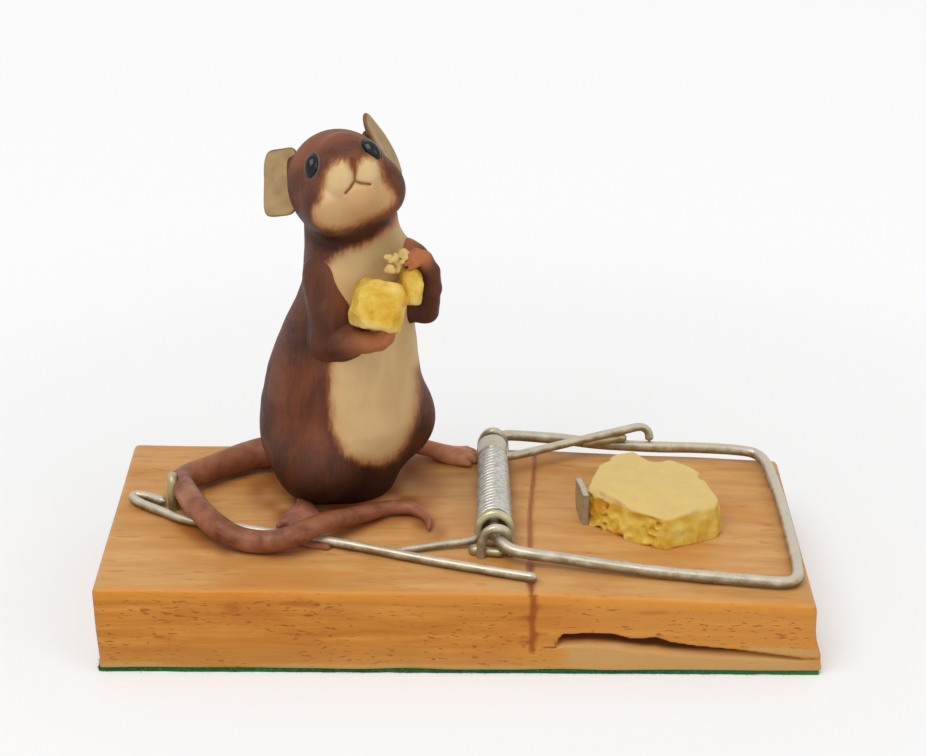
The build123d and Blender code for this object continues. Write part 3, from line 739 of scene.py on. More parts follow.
def evened(points, step):
    """Points spaced evenly along a run"""
    lengths = lengths_along(points)
    marks = np.linspace(0, lengths[-1], max(3, int(lengths[-1] / step)))
    return np.stack([np.interp(marks, lengths, points[:, k]) for k in range(points.shape[1])], 1)


def hand_made(points, size, depth, seed):
    """Radius shares that vary a little, as brushed and cast wire does"""
    return 1 + depth * lumps(points, size, seed)


def rounded_ends(points, radii, reach):
    """Radii that close to a dome over the last stretch at each end"""
    lengths = lengths_along(points)
    for distance in (lengths, lengths[-1] - lengths):
        share = np.clip(distance / reach, 0.02, 1)
        radii = radii * np.sqrt(1 - (1 - share)**2)
    return radii


def filed(piece, slot, *nodes):
    """Piece rides with the ornament and stands for its nodes; its slot is not used"""
    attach(piece, "root")
    if nodes:
        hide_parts(*nodes)
    return piece


# Board and felt

BOARD_LEFT, BOARD_RIGHT = -49.4, 49.4
BOARD_FRONT, BOARD_BACK = -22.5, 22.5
SCORE_X = 11.4
SCORE_HEIGHT, LEFT_SLOPE, RIGHT_SLOPE = 12.45, 0.0074, 0.0446
FELT_TOP = 0.7
BLANK_TOP, SEAM_X = 12.4, 10.0
WAIST_RISE = (FELT_TOP, 1.6, 2.9, 5.0, 6.8, 9.6, 11)
WAIST_SHIFT = (0.0, 0.0, -0.1, -0.75, -1.0, -1.05, -1.3)


def board_top(x):
    """Height of the board's top, which falls away to the right of the score line"""
    left = SCORE_HEIGHT + LEFT_SLOPE * (SCORE_X - x)
    right = SCORE_HEIGHT - RIGHT_SLOPE * (x - SCORE_X)
    return np.where(x < SCORE_X, left, right)


def grid_lines(low, high, edge, step):
    """Lines across a face, closer together near its edges"""
    near = edge * np.array([0, 0.2, 0.45, 0.75, 1.0])
    middle = np.arange(low + edge, high - edge, step)[1:]
    return np.concatenate([low + near, middle, (high - near)[::-1]])


def box_skin(xs, ys, zs):
    """Points and quads of a closed box ruled by these lines"""
    shape = (len(xs), len(ys), len(zs))
    outside = np.zeros(shape, bool)
    for axis in range(3):
        ends = [slice(None)] * 3
        ends[axis] = [0, -1]
        outside[tuple(ends)] = True
    number = np.full(shape, -1)
    number[outside] = np.arange(outside.sum())
    spots = np.argwhere(outside)
    points = np.stack([xs[spots[:, 0]], ys[spots[:, 1]], zs[spots[:, 2]]], 1)
    quads = []
    for axis in range(3):
        for end, flip in ((0, True), (-1, False)):
            sheet = np.take(number, end, axis=axis)
            if axis == 1:
                flip = not flip
            corners = [sheet[:-1, :-1], sheet[1:, :-1], sheet[1:, 1:], sheet[:-1, 1:]]
            if flip:
                corners = corners[::-1]
            quads.append(np.stack([c.ravel() for c in corners], 1))
    return points, np.concatenate(quads)


def rounded_box(points, low, high, radius):
    """Points of a box drawn in to rounded edges"""
    inner = np.clip(points, low + radius, high - radius)
    out = points - inner
    length = np.linalg.norm(out, axis=1, keepdims=True)
    return np.where(length > 0, inner + out / np.maximum(length, 1e-9) * radius, points)


SPLIT_X = (11.4, 13.0, 14.0, 17.7, 21.1, 23.2, 25.2, 26.6, 28.6, 32.0, 37.5, 42.3, 47.8)
SPLIT_HIGH = (4.25, 4.3, 6.1, 6.3, 6.1, 5.45, 5.45, 5.6, 4.9, 4.4, 3.9, 3.3, 2.45)
SPLIT_LOW = (4.0, 4.0, 4.15, 4.2, 3.9, 3.6, 3.3, 3.2, 2.9, 2.7, 2.5, 2.4, 2.2)
FRONT_STAINS = (
    ((-30.5, 10.2), 1.6, 1.3), ((-21, 10.9), 3.4, 0.8), ((-16.7, 10.0), 2.6, 0.7),
    ((-40, 5.5), 2.0, 0.6), ((26, 9.6), 3.0, 0.6), ((8.9, 8.6), 1.5, 0.7),
    ((11.4, 6.3), 1.3, 0.5), ((8.8, 5.0), 1.3, 0.45), ((10.6, 10.6), 1.2, 0.8),
)


def split_depth(x, z):
    """How far the split runs into the front face"""
    high = np.interp(x, SPLIT_X, SPLIT_HIGH)
    low = np.interp(x, SPLIT_X, SPLIT_LOW)
    inside = ease(x, 11.3, 12.2) * (1 - ease(x, 46.0, 47.8))
    share = np.clip((z - low) / np.maximum(high - low, 0.05), 0, 1.4)
    wall = ease(share, 0.0, 0.75) * (1 - ease(share, 0.97, 1.12))
    return 2.6 * inside * wall * np.interp(x, (11, 14, 30, 40, 48), (0.3, 1, 0.8, 0.5, 0.3))


def board_layers(start, points, depth, score_line, front, on_top):
    """Painted layers of the board: painted highlight along the front top edge, bare wood in the split, stains
    with painted contact shadows, and painted shade in the split
    """
    x, y, z = start.T
    high, low = np.interp(x, SPLIT_X, SPLIT_HIGH), np.interp(x, SPLIT_X, SPLIT_LOW)
    rise = points[:, 2]
    split = ease(x, 13.2, 14.2)
    # Painted highlight along the front top edge of the face and the front margin of the top
    edge = np.exp(-((z - 11.5) / 0.7)**2) * front + 0.5 * ease(-y, 20.8, 21.8) * on_top
    floor = ease(x, 12.0, 17.0) * (1 - ease(rise - low, 0.0, 0.7)) * front * (1 - 0.5 * ease(x, 44, 48))
    splinter_rise = np.interp(x, (39, 48), (4.2, 3.6))
    splinter = ease(x, 38.5, 40) * (1 - ease(np.abs(rise - splinter_rise), 0.3, 0.8)) * front
    worn = ease(lumps(points * (0.25, 1, 1), 1.6, 7), -0.8, 0.2)
    low_strip = 0.7 * (1 - ease(rise, 1.3, 2.0)) * front * worn
    wander = lumps(points, 1.2, 8)
    seam = np.exp(-((x - SEAM_X - 0.3 * wander) / (0.55 + 0.25 * wander))**2) * front * ease(z, 2.6, 3.8)
    stain_and_shadow = seam + 0.9 * score_line * on_top
    # Painted shade: a dark line under the split's overhanging upper lip
    stain_and_shadow += 0.6 * np.exp(-((rise - high - 0.2) / 0.25)**2) * front * split
    for place, wide, tall in FRONT_STAINS:
        reach = np.hypot((x - place[0]) / wide, (rise - place[1]) / tall)
        stain_and_shadow += 0.5 * front * (1 - ease(reach + 0.4 * lumps(points * (0.6, 1, 1), 1.0, 9), 0.3, 1.2))
    uneven = 0.75 + 0.35 * lumps(points, 2.5, 10)
    tail_run = [row[:2] for row in TAIL]
    rod_run = [place[:2] for place in ROD]
    hoop_run = [place[:2] for place in HOOP[4:26]]
    spring_run = [(SPRING_X, -9), (SPRING_X, 17)]
    # Painted contact shadow on the top of the board around the mouse's body, feet and tail, the wires, the
    # spring and the bait
    contact_shadow = 0.9 * (1 - ease(np.hypot((x + 16.5) / 11.5, (y - 8.5) / 12.0), 0.9, 1.6))
    for route, reach, amount in (
        (tail_run, 4.5, 0.7), (rod_run, 2.0, 0.5), (hoop_run, 1.8, 0.4), (spring_run, 5.0, 0.6),
        ([(-8, 19), (3, 18)], 3.6, 0.7), ([(-22.2, 4), (-22.2, -6)], 4.4, 0.8),
    ):
        contact_shadow = np.maximum(contact_shadow, amount * (1 - ease(near_route(x, y, route), reach * 0.3, reach)))
    contact_shadow = np.maximum(contact_shadow, 0.45 * (1 - ease(outline_distance(start, BAIT_OUTLINE), 0.2, 1.6)))
    stain_and_shadow += contact_shadow * uneven * on_top
    bare = np.clip(np.maximum(floor, np.maximum(splinter * 0.8, low_strip)), 0, 1)
    shade = ease(depth, 0.25, 1.4) * ease(rise - low, 0.25, 1.0)
    return {"painted_edge_highlight": edge, "bare": bare, "stain_and_shadow": np.clip(stain_and_shadow, 0, 1), "shade": shade}


def near_route(x, y, route):
    """Distance on the board from a run of places"""
    least = np.full(len(x), 1e6)
    for (x0, y0), (x1, y1) in zip(route, route[1:]):
        run = np.array([x1 - x0, y1 - y0])
        share = np.clip(((x - x0) * run[0] + (y - y0) * run[1]) / (run @ run), 0, 1)
        least = np.minimum(least, np.hypot(x - x0 - share * run[0], y - y0 - share * run[1]))
    return least


def make_board():
    xs = grid_lines(BOARD_LEFT, BOARD_RIGHT, 1.2, 0.4)
    ys = grid_lines(BOARD_FRONT, BOARD_BACK, 1.2, 0.7)
    zs = np.concatenate([
        [FELT_TOP, 0.85], np.arange(1.1, 6.8, 0.18), np.arange(6.9, 11.2, 0.4),
        [11.35, 11.7, 12.0, 12.2, BLANK_TOP],
    ])
    points, quads = box_skin(xs, ys, zs)
    low = np.array([BOARD_LEFT, BOARD_FRONT, FELT_TOP])
    high = np.array([BOARD_RIGHT, BOARD_BACK, BLANK_TOP])
    start = points.copy()
    points = rounded_box(points, low, high, 0.8)
    flat_bottom = start[:, 2] < 1.6
    points[flat_bottom] = rounded_box(start[flat_bottom], low, high, 0.25)
    x, y, z = start.T
    share = (points[:, 2] - FELT_TOP) / (BLANK_TOP - FELT_TOP)
    points[:, 2] = FELT_TOP + share * (board_top(points[:, 0]) - FELT_TOP)
    # Uneven edges of a hand-finished casting
    ripple = lumps(np.stack([x, y * 0 + z, z], 1), 7.0, 3)
    points[:, 1] += ease(-y, 20, 22) * (0.18 * ripple) - ease(y, 20, 22) * 0.15 * ripple + 0.02
    points[:, 2] += ease(z, 9, 12) * 0.09 * lumps(np.stack([x, y, z], 1), 9.0, 5)
    points[:, 0] += ease(x, 46, 49) * np.interp(points[:, 2], WAIST_RISE, WAIST_SHIFT)
    points[:, 0] += ease(-x, 47, 49.2) * np.interp(points[:, 2], (FELT_TOP, 6, 12), (0.55, 0.25, 0.05))
    # Score line across the top and down the front
    score = SEAM_X + 1.3 * ease(y, -4, 22) - 0.25 * ease(y, -2, -14)
    score_line = np.exp(-((x - score) / 0.42)**2)
    on_top = ease(z, 11.9, 12.3)
    points[:, 2] -= 0.4 * score_line * on_top
    front = ease(-y, 22.2, 22.5)
    points[:, 1] += 0.18 * np.exp(-((x - SEAM_X) / 0.45)**2) * front * ease(z, 2.8, 3.6)
    depth = split_depth(x, points[:, 2]) * front
    points[:, 1] += depth
    layers = board_layers(start, points, depth, score_line, front, on_top)
    return filed(mesh_object("stained_board", points, quads, stained_wood(), layers), "board", "base_block")


def make_felt(finish):
    low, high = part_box("felt_pad")
    low, high = np.array(low) / MM, np.array(high) / MM
    xs = grid_lines(low[0], high[0], 0.5, 0.6)
    ys = grid_lines(low[1], high[1], 0.5, 0.9)
    zs = np.linspace(0, FELT_TOP, 5)
    points, quads = box_skin(xs, ys, zs)
    across, deep = np.abs(points[:, 0]), np.abs(points[:, 1])
    rim = np.maximum(ease(across, high[0] - 0.6, high[0]), ease(deep, high[1] - 0.6, high[1]))
    points[:, :2] *= 1 + (0.003 * rim * lumps(points * (1, 1, 3), 1.6, 11))[:, None]
    pad = filed(mesh_object("felt_under_board", points, quads, finish), "felt", "felt_pad")
    # Loose fibres that stand out of the cut edge
    band = np.abs(points[:, 2] - FELT_TOP / 2) < 0.4
    keep = [q for q in quads if band[q].all() and np.ptp(points[q, 2]) > 0.1]
    cut_edge = mesh_object("felt_cut_edge", points, np.array(keep), finish)
    angles = np.linspace(0, 2 * np.pi, 4)[:3]
    spine = [(0, 0, -0.1), (0.05, 0, 0.25), (0.16, 0.03, 0.5)]
    tip = (0.34, 0.08, 0.68)
    thin = (0.035, 0.03, 0.02)
    strand = [(x + r * np.cos(a), y + r * np.sin(a), z) for (x, y, z), r in zip(spine, thin) for a in angles]
    strand.append(tip)
    sides = [(i + j, i + (j + 1) % 3, i + 3 + (j + 1) % 3) for i in (0, 3) for j in range(3)]
    sides += [(i + j, i + 3 + (j + 1) % 3, i + 3 + j) for i in (0, 3) for j in range(3)]
    sides += [(6 + j, 6 + (j + 1) % 3, 9) for j in range(3)]
    fibre = mesh_object("felt_fibre", strand, np.array(sides), finish)
    fuzz = grown("felt_fuzz", cut_edge, scatter, {
        "Shape": fibre, "Density": 9.0e6, "Smallest": 0.35, "Largest": 0.95, "Tilt": 1.1, "Seed": 7,
        "Finish": finish,
    })
    for vertex in fuzz.data.vertices:
        vertex.co.z = max(vertex.co.z, 0.00002)
    bpy.data.objects.remove(cut_edge)
    bpy.data.objects.remove(fibre)
    filed(fuzz, "felt")
    return pad


# Trap wires

SPRING_X, SPRING_Z = 4.9, 15.25
SPRING_NARROWS = 0.13
HOOP_WIRE, ROD_WIRE, ARM_WIRE, LEG_WIRE, TURN_WIRE = 1.65, 1.3, 1.3, 1.0, 0.9
HOOP = (
    (4.92, 4.7, 15.27), (4.92, -8, 15.25), (5.4, -11.4, 15.1), (6.98, -13.6, 14.58),
    (9.7, -14.6, 14.36), (13.8, -14.95, 13.94), (19.3, -15.6, 13.4), (26.05, -16.55, 12.9),
    (32.8, -17.2, 12.5), (40, -17.75, 12.15), (44.3, -17.9, 11.95), (46, -16.6, 11.86),
    (46.6, -13.5, 11.82), (46.8, -4, 11.87), (46.75, 6, 11.97), (46.4, 13.6, 12.09), (46, 18.4, 12.2),
    (44.7, 21, 12.5), (41.9, 21.6, 12.8), (36.4, 21.7, 13.1), (28.8, 21.7, 13.25), (21.2, 21.7, 13.7),
    (15.4, 21.6, 14.5), (9.8, 21.5, 15), (6.8, 21, 15.3), (5.2, 19.2, 15.27), (4.92, 16, 15.27),
)
STRIKER = (
    (6.6, 12.9, 15.9), (7.72, 13.6, 15.51), (10.42, 15, 15.5), (15, 18, 15.24), (19.12, 20, 15.38),
    (24.15, 21.4, 15.99), (26.89, 22, 16.39), (27.96, 22.1, 16.1), (28.51, 22, 15.4), (28.7, 21.9, 14.11),
)
LEG = (
    (3.0, -7.6, 14.0), (2.4, -8.6, 13.65), (1.5, -9.36, 13.52), (-2.66, -10.26, 13.35),
    (-6.67, -11.16, 13.18), (-9.5, -11.9, 13.1),
)


def make_hoop(finish):
    route = evened(flowing(HOOP, 8), 0.45)
    radii = hand_made(route, 3.1, 0.06, 21)
    return filed(swept("painted_hoop", route, radii, HOOP_WIRE, 20, finish), "wire", "hammer_bail")


def make_spring(finish, plain):
    first, last, turns = -7.4, 13.3, 21.5
    angle = np.linspace(0, 2 * np.pi * turns, int(turns * 26))
    share = angle / angle[-1]
    along = first + (last - first) * share
    phase = 0.9 * np.pi
    radius = 2.15 - 0.35 * share
    helix = np.stack([
        SPRING_X + radius * np.sin(angle + phase), along, SPRING_Z + radius * np.cos(angle + phase),
    ], 1)
    coil = swept("wound_turns", helix, hand_made(helix, 1.5, 0.05, 31), TURN_WIRE, 12, finish)
    arm = evened(flowing(STRIKER, 8), 0.4)
    arm_radii = rounded_ends(arm, hand_made(arm, 2.0, 0.05, 33), 0.5)
    striker = swept("striker_arm", arm, arm_radii, ARM_WIRE, 14, plain)
    leg = evened(flowing(LEG, 8), 0.3)
    foot = swept("spring_leg", leg, rounded_ends(leg, np.ones(len(leg)), 0.4), LEG_WIRE, 12, plain)
    filed(coil, "spring", "torsion_spring")
    filed(striker, "spring")
    filed(foot, "spring")


def make_web(name, places, radii, finish, slot):
    """Web of casting that fills a gap beneath a wire or the tail"""
    def form(points):
        solid = limb(points, places, radii)
        solid = solid + 0.12 * lumps(points, 1.3, 43)
        return kept(solid, board_top(points[:, 0]) - 0.05 - points[:, 2], 0.2)

    reach = max(radii) + 0.8
    low, high = np.min(places, 0) - reach, np.max(places, 0) + reach
    return filed(sculpted(name, form, low, high, 0.16, finish), slot)


def make_collar(finish):
    """Core inside the turns: a smooth band at the back and a hollow cup in front"""
    centre = np.array([SPRING_X, 0, SPRING_Z], np.float32)

    def form(points):
        flat = points - centre
        out = np.hypot(flat[:, 0], flat[:, 2])
        y = points[:, 1]
        core = np.maximum(out - 2.0, np.maximum(-9.3 - y, y - 14.6))
        band = np.maximum(out - 2.3, np.abs(y - 14.9) - 1.9)
        lip = np.hypot(out - 2.2, y + 8.7) - 0.62
        form = joined(core, band, 0.5)
        form = joined(form, lip, 0.4)
        hollow = np.maximum(out - 1.7, y + 7.0)
        form = carved(form, hollow, 0.5)
        return form + 0.06 * lumps(points, 1.1, 41)

    def layers(points):
        flat = points - centre
        out = np.hypot(flat[:, 0], flat[:, 2])
        mouth = ease(-out, -2.1, -1.6) * ease(-points[:, 1], 6.4, 7.4)
        return {"tint": ease(-points[:, 1], 7.4, 8.2), "inside": mouth * ease(-flat[:, 2], -0.6, 1.2)}

    low = (SPRING_X - 3.4, -10, SPRING_Z - 3.4)
    high = (SPRING_X + 3.4, 17.6, SPRING_Z + 3.4)
    return filed(sculpted("spring_collar", form, low, high, 0.16, finish, layers), "wire", "spring_core")


def make_staple(name, places, thickness, finish, *nodes):
    """Staple of bent wire, driven into the board over what it holds"""
    route = evened(flowing(places, 8), 0.3)
    radii = hand_made(route, 1.7, 0.06, 51)
    return filed(swept(name, route, radii, thickness, 16, finish), "wire", *nodes)


ROD = (
    (10.55, -19.35, 13.26), (-2.61, -15.17, 13.35), (-16.56, -10.02, 13.46), (-27.93, -6.75, 13.54),
    (-38.04, -3.99, 13.62), (-41.87, -1.48, 13.64), (-44.2, 0.16, 13.66), (-46.13, 1.83, 13.68),
    (-46.98, 2.81, 13.73), (-46.65, 3.67, 13.78), (-45.01, 3.24, 13.77), (-43.02, 2.19, 13.75),
    (-42.08, 1.58, 13.75),
)


def make_rod(finish):
    route = evened(flowing(ROD, 8), 0.4)
    radii = rounded_ends(route, hand_made(route, 2.2, 0.08, 61), 0.7)
    return filed(swept("painted_rod", route, radii, ROD_WIRE, 18, finish), "wire", "arming_rod")


# Bait

BAIT_OUTLINE = (
    (17.9, -0.6), (20.8, -3.1), (24.2, -5.9), (26.6, -7.1), (28.9, -8.2), (32.4, -6.2), (36.4, -3.5),
    (37.2, -1.2), (36.0, 2.6), (35.2, 6.2), (33.0, 8.8), (30.9, 10.0), (28.6, 9.3), (27.0, 10.2),
    (25.6, 12.1), (22.6, 11.0), (20.3, 7.6), (18.6, 3.4),
)
BAIT_BITES = (
    ((28.9, 12.0, 17.0), (1.9, 3.0, 4.5)),
    ((35.9, 4.6, 17.2), (1.5, 1.5, 4.0)),
    ((20.5, 8.6, 17.2), (1.2, 1.2, 2.6)),
)


def outline_distance(points, outline):
    """Distance from an upright wall that follows an outline, negative inside"""
    place = points[:, :2]
    least = np.full(len(place), 1e6, np.float32)
    inside = np.zeros(len(place), bool)
    corners = np.asarray(outline, np.float32)
    for a, b in zip(corners, np.roll(corners, -1, 0)):
        run = b - a
        share = np.clip(((place - a) @ run) / (run @ run), 0, 1)
        least = np.minimum(least, np.linalg.norm(place - a - share[:, None] * run, axis=1))
        spans = (a[1] > place[:, 1]) != (b[1] > place[:, 1])
        rise = b[1] - a[1] if b[1] != a[1] else 1e-9
        inside ^= spans & (place[:, 0] < (b[0] - a[0]) * (place[:, 1] - a[1]) / rise + a[0])
    return np.where(inside, -least, least)


def make_bait(finish):
    def form(points):
        x, y, z = points.T
        deck = board_top(x)
        lean = 0.14 * (z - deck - 2)
        wall = outline_distance(points, BAIT_OUTLINE) + lean
        height = 5.6 - 1.1 * ease(-y, 1, 8) - 0.5 * ease(x, 33, 37) + 0.3 * lumps(points * (1, 1, 0), 4.0, 71)
        top = z - deck - height
        solid = kept(wall, top, 0.45)
        solid = kept(solid, deck - 0.1 - z, 0.2)
        torn = (1 - 0.8 * ease(x, 27.6, 29.4)) * (1 - ease(y, 0, 7))
        crumble = 0.9 * np.abs(lumps(points, 2.2, 72)) + 0.6 * np.abs(lumps(points, 1.0, 73)) - 0.35
        solid = solid + crumble * torn * ease(-top, 0.0, 0.8) + 0.12 * lumps(points, 1.2, 74)
        gouge = egg(points, (23.2, -6.6, 15.2), (2.6, 1.6, 1.3))
        solid = carved(solid, gouge, 0.4)
        for centre, radii in BAIT_BITES:
            solid = carved(solid, egg(points, centre, radii), 0.5)
        return solid

    def layers(points):
        x, z = points[:, 0], points[:, 2]
        height = z - board_top(x)
        rind = ease(height, 3.9, 4.8)
        deep = ease(lumps(points, 1.5, 72), 0.1, 0.8) * (1 - rind) * ease(-(x - 28), -3, 4)
        deep = np.maximum(deep, 0.6 * np.exp(-((x - 28.9) / 0.5)**2) * (1 - rind))
        return {"rind": rind, "deep": deep}

    bait = sculpted("bait_lump", form, (16.4, -9.6, 9.8), (39, 13.6, 19), 0.2, finish, layers)
    return filed(bait, "cheese", "bait_cheese")


def make_strip(finish):
    centre, turn = np.array([17.5, 0.7, 0]), math.radians(8)
    deck = float(board_top(centre[0]))
    xs = grid_lines(-0.45, 0.45, 0.12, 0.2)
    ys = grid_lines(-2.7, 2.7, 0.3, 0.5)
    zs = grid_lines(-0.3, 4.9, 0.3, 0.5)
    points, quads = box_skin(xs, ys, zs)
    points = rounded_box(points, np.array([-0.45, -2.7, -0.3]), np.array([0.45, 2.7, 4.9]), 0.2)
    points[:, 0] += 0.12 * lumps(points, 2.2, 81)
    x, y = points[:, 0].copy(), points[:, 1].copy()
    points[:, 0] = centre[0] + x * math.cos(turn) - y * math.sin(turn)
    points[:, 1] = centre[1] + x * math.sin(turn) + y * math.cos(turn)
    points[:, 2] += deck
    return filed(mesh_object("bait_tab", points, quads, finish), "wire", "bait_strip")


NEAR_STAPLE = (
    (3.0, -12.3, 11.6), (3.1, -12.25, 14.4), (3.7, -12.2, 16.3), (5.05, -12.15, 16.95),
    (6.4, -11.9, 16.3), (6.95, -11.6, 14.9), (7.1, -11.5, 11.6),
)
FAR_STAPLE = (
    (3.2, 19.0, 11.6), (3.3, 19.0, 15.0), (4.0, 19.0, 16.5), (4.95, 19.0, 16.9),
    (5.9, 19.0, 16.5), (6.6, 19.0, 15.0), (6.7, 19.0, 11.6),
)
ROD_STAPLE = (
    (-41.0, 0.9, 11.9), (-41.0, 1.0, 15.6), (-41.0, 1.35, 17.2), (-41.05, 2.1, 17.5),
    (-41.1, 2.9, 16.9), (-41.1, 3.2, 14.6), (-41.1, 3.2, 11.9),
)


# Mouse

SEAT = np.array([-17.2, 10.7, 12.66])
FACING = np.array([0.682, -0.731, 0.0])
LEFT = np.array([0.731, 0.682, 0.0])
UP = np.array([0, 0, 1.0])
BODY_HEIGHT = 41.5
BODY_WIDTH = 11.7
BODY = (
    (0.04, 0, 0.1, 0.7), (-0.04, -0.06, 0.22, 0.906), (0.03, 0.02, 0.33, 0.977), (0.06, 0, 0.42, 0.876),
    (0.12, 0, 0.5, 0.815), (0.2, 0, 0.59, 0.75), (0.28, 0, 0.68, 0.658), (0.3, 0, 0.86, 0.576),
    (0.25, -0.01, 1, 0.52), (0.29, -0.06, 1.07, 0.527),
)
HEAD = np.array([-15.3, 5.2, 61.4])
HEAD_AXES = np.array([
    (0.08236955, -0.78369395, 0.61566148),
    (0.92596, 0.28862013, 0.24350871),
    (-0.3685286, 0.5500202, 0.74944276),
])
THIGHS = ((-1, 2.87, 7.44, 7.3, (8.1, 5.65, 6.5)), (1, 2.28, 6.65, 8.6, (8.45, 5.5, 6.5)))
HEAD_LUMPS = (
    ((3.2, 0, -0.9), (5.0, 4.35, 4.4), 2.4),
    ((2.4, -4.1, -3.17), (4.4, 3.65, 4.1), 1.6),
    ((6.55, -2.35, -1.75), (2.35, 2.1, 2.45), 0.45),
    ((2.4, 2.95, -3.17), (4.4, 3.65, 4.1), 1.6),
    ((6.55, 1.55, -1.75), (2.35, 2.1, 2.45), 0.45),
    ((4.9, -0.4, -4.6), (3.0, 3.0, 2.4), 1.2),
    ((6.4, -0.7, -3.95), (1.5, 1.7, 1.0), 0.5),
)
NOSE_AND_EAR_ROOTS = (
    ((8.5, -0.3, 0.5), (0.6, 0.95, 0.55), 0.3),
    ((-2.4, -5.9, 3.2), (1.3, 1.3, 3.8), 1.0),
    ((-2.2, 4.9, 3.4), (1.3, 1.1, 3.2), 1.0),
)


def on_mouse(forward, left, up):
    """Place by shares of the body's height, forward, left and up from the seat"""
    return SEAT + BODY_HEIGHT * (forward * FACING + left * LEFT + up * UP)


def on_head(forward, left, up):
    """Place in millimetres forward, left and up from the middle of the head"""
    return HEAD + forward * HEAD_AXES[0] + left * HEAD_AXES[1] + up * HEAD_AXES[2]


def on_body(forward, left, up):
    """Place by shares of the body's width forward and left, and of its height up"""
    return SEAT + BODY_WIDTH * (forward * FACING + left * LEFT) + BODY_HEIGHT * up * UP


def torso_form(points):
    places = [on_body(*row[:3]) for row in BODY]
    return limb(points, places, [BODY_WIDTH * row[3] for row in BODY], 2.0)


def thigh_form(points, side, forward, out, rise, radii):
    """Thigh that leans forward, on the mouse's right for side -1 and left for side 1"""
    centre = SEAT + forward * FACING + side * out * LEFT + rise * UP
    lean = unit(0.75 * FACING + 0.2 * side * LEFT + 0.55 * UP)
    across = unit(np.cross(UP, lean))
    return egg(points, centre, radii, (lean, across, np.cross(lean, across)))


def body_form(points):
    form = torso_form(points)
    for thigh in THIGHS:
        form = joined(form, thigh_form(points, *thigh), 2.0)
    for f, l, u in ((0.13, -0.135, 0.84), (0.2, 0.09, 0.83)):
        form = joined(form, egg(points, on_mouse(f, l, u), (3.6, 3.6, 4.6)), 3.0)
    return form


EYE_PLACES = ((5.6, -4.7, 1.62), (6.35, 3.1, 0.85))
EYE_SIZE = (1.28, 1.85)
EYE_LEANS = (-0.6, 0.34)
EYE_DEPTH, EYE_GAP = 1.3, 0.06
MUZZLE_LINES = (
    ((353, 160), (355, 171), (354.6, 181.5)), ((354.5, 181), (350, 188), (345.5, 193)),
    ((355, 181.5), (361, 183.5), (370, 184.3)),
)
NOSE = ((355, 154), (6.5, 5.0))


def eye_axes(side):
    """Outward, across and upright directions of an eye's bead"""
    outward = unit(on_head(*EYE_PLACES[side]) - HEAD)
    rise = HEAD_AXES[2] - EYE_LEANS[side] * HEAD_AXES[1]
    across = unit(np.cross(rise, outward))
    return np.array([outward, across, np.cross(outward, across)])


def head_local(points):
    """Points in the head's own directions"""
    return ((points - HEAD) @ HEAD_AXES.T).astype(np.float32)


def stroke_distance(points, strokes):
    """Millimetres from points to strokes drawn on the photograph"""
    place = in_photo(points)
    least = np.full(len(place), 1e6)
    for stroke in np.asarray(strokes, float):
        for a, b in zip(stroke, stroke[1:]):
            share = np.clip(((place - a) @ (b - a)) / ((b - a) @ (b - a)), 0, 1)
            least = np.minimum(least, np.linalg.norm(place - a - share[:, None] * (b - a), axis=1))
    return least / PHOTO_SCALE


def head_form(points):
    q = head_local(points)
    form = egg(q, (-1.06, -1.13, 0.04), (6.96, 7.25, 7.75))
    for centre, radii, soft in HEAD_LUMPS:
        form = joined(form, egg(q, centre, radii), soft)
    form = joined(form, taper(q, (5.0, 0, 2.3), (7.9, -0.2, 0.5), 2.3, 1.2), 2.6)
    for centre, radii, soft in NOSE_AND_EAR_ROOTS:
        form = joined(form, egg(q, centre, radii), soft)
    wide, tall = EYE_SIZE
    for side in (0, 1):
        centre = on_head(*EYE_PLACES[side])
        axes = eye_axes(side)
        form = joined(form, egg(points, centre, (1.0, wide + 0.2, tall + 0.2), axes), 0.3)
        form = carved(form, egg(points, centre + 0.9 * axes[0], (1.1, wide, tall), axes), 0.15)
    drawn = 1 - ease(stroke_distance(points, MUZZLE_LINES), 0.05, 0.4)
    crease_depth = 0.32 * drawn * ease(q[:, 0], 3.5, 4.5)
    return form + crease_depth.astype(np.float32)


def crease(points):
    """Above the crease under the chin is the head, below it the body"""
    return body_form(points) - head_form(points)


FACE_OUTLINE = (
    (312, 211), (317, 204), (321, 197), (322.5, 185), (325, 172), (332.5, 163), (341, 159.5),
    (348, 161), (352, 167), (355, 170), (358, 164), (363, 157), (372, 156), (379, 160), (382, 172),
    (384, 182), (392, 190), (396, 198), (393, 205), (385, 211), (372, 217), (355, 225), (338, 229.5),
    (322, 228), (314, 222),
)
CHEST_OUTLINE = (
    (326.7, 265), (335, 255), (345, 250), (358, 246.7), (372, 240), (382, 233), (392, 225), (397, 216),
    (412, 225), (432, 260), (432, 350), (418, 371), (419, 385), (419, 402), (415, 423), (407, 443),
    (395, 459), (380, 465), (362, 463), (345, 455), (333, 430), (330, 403), (330, 367), (336, 340),
    (339, 315), (331, 295), (327, 275),
)


# Pixels to a millimetre at the mouse
PHOTO_SCALE = 7.3


def painted_within(points, outline):
    """Millimetres by which points lie inside an outline drawn on the photograph"""
    return -outline_distance(in_photo(points), outline) / PHOTO_SCALE


def chest_margin(points):
    """Inside the cream of the chest, which stops where the side turns away from the front"""
    rise = (points[:, 2] - SEAT[2]) / BODY_HEIGHT
    forward = np.interp(rise, [b[2] for b in BODY], [b[0] for b in BODY]) * BODY_WIDTH
    offset = points - SEAT - forward[:, None] * FACING
    front = np.minimum(offset @ np.array([0, -1.0, 0]) + 0.3, offset @ FACING + 3.0)
    return np.minimum(painted_within(points, CHEST_OUTLINE), front)


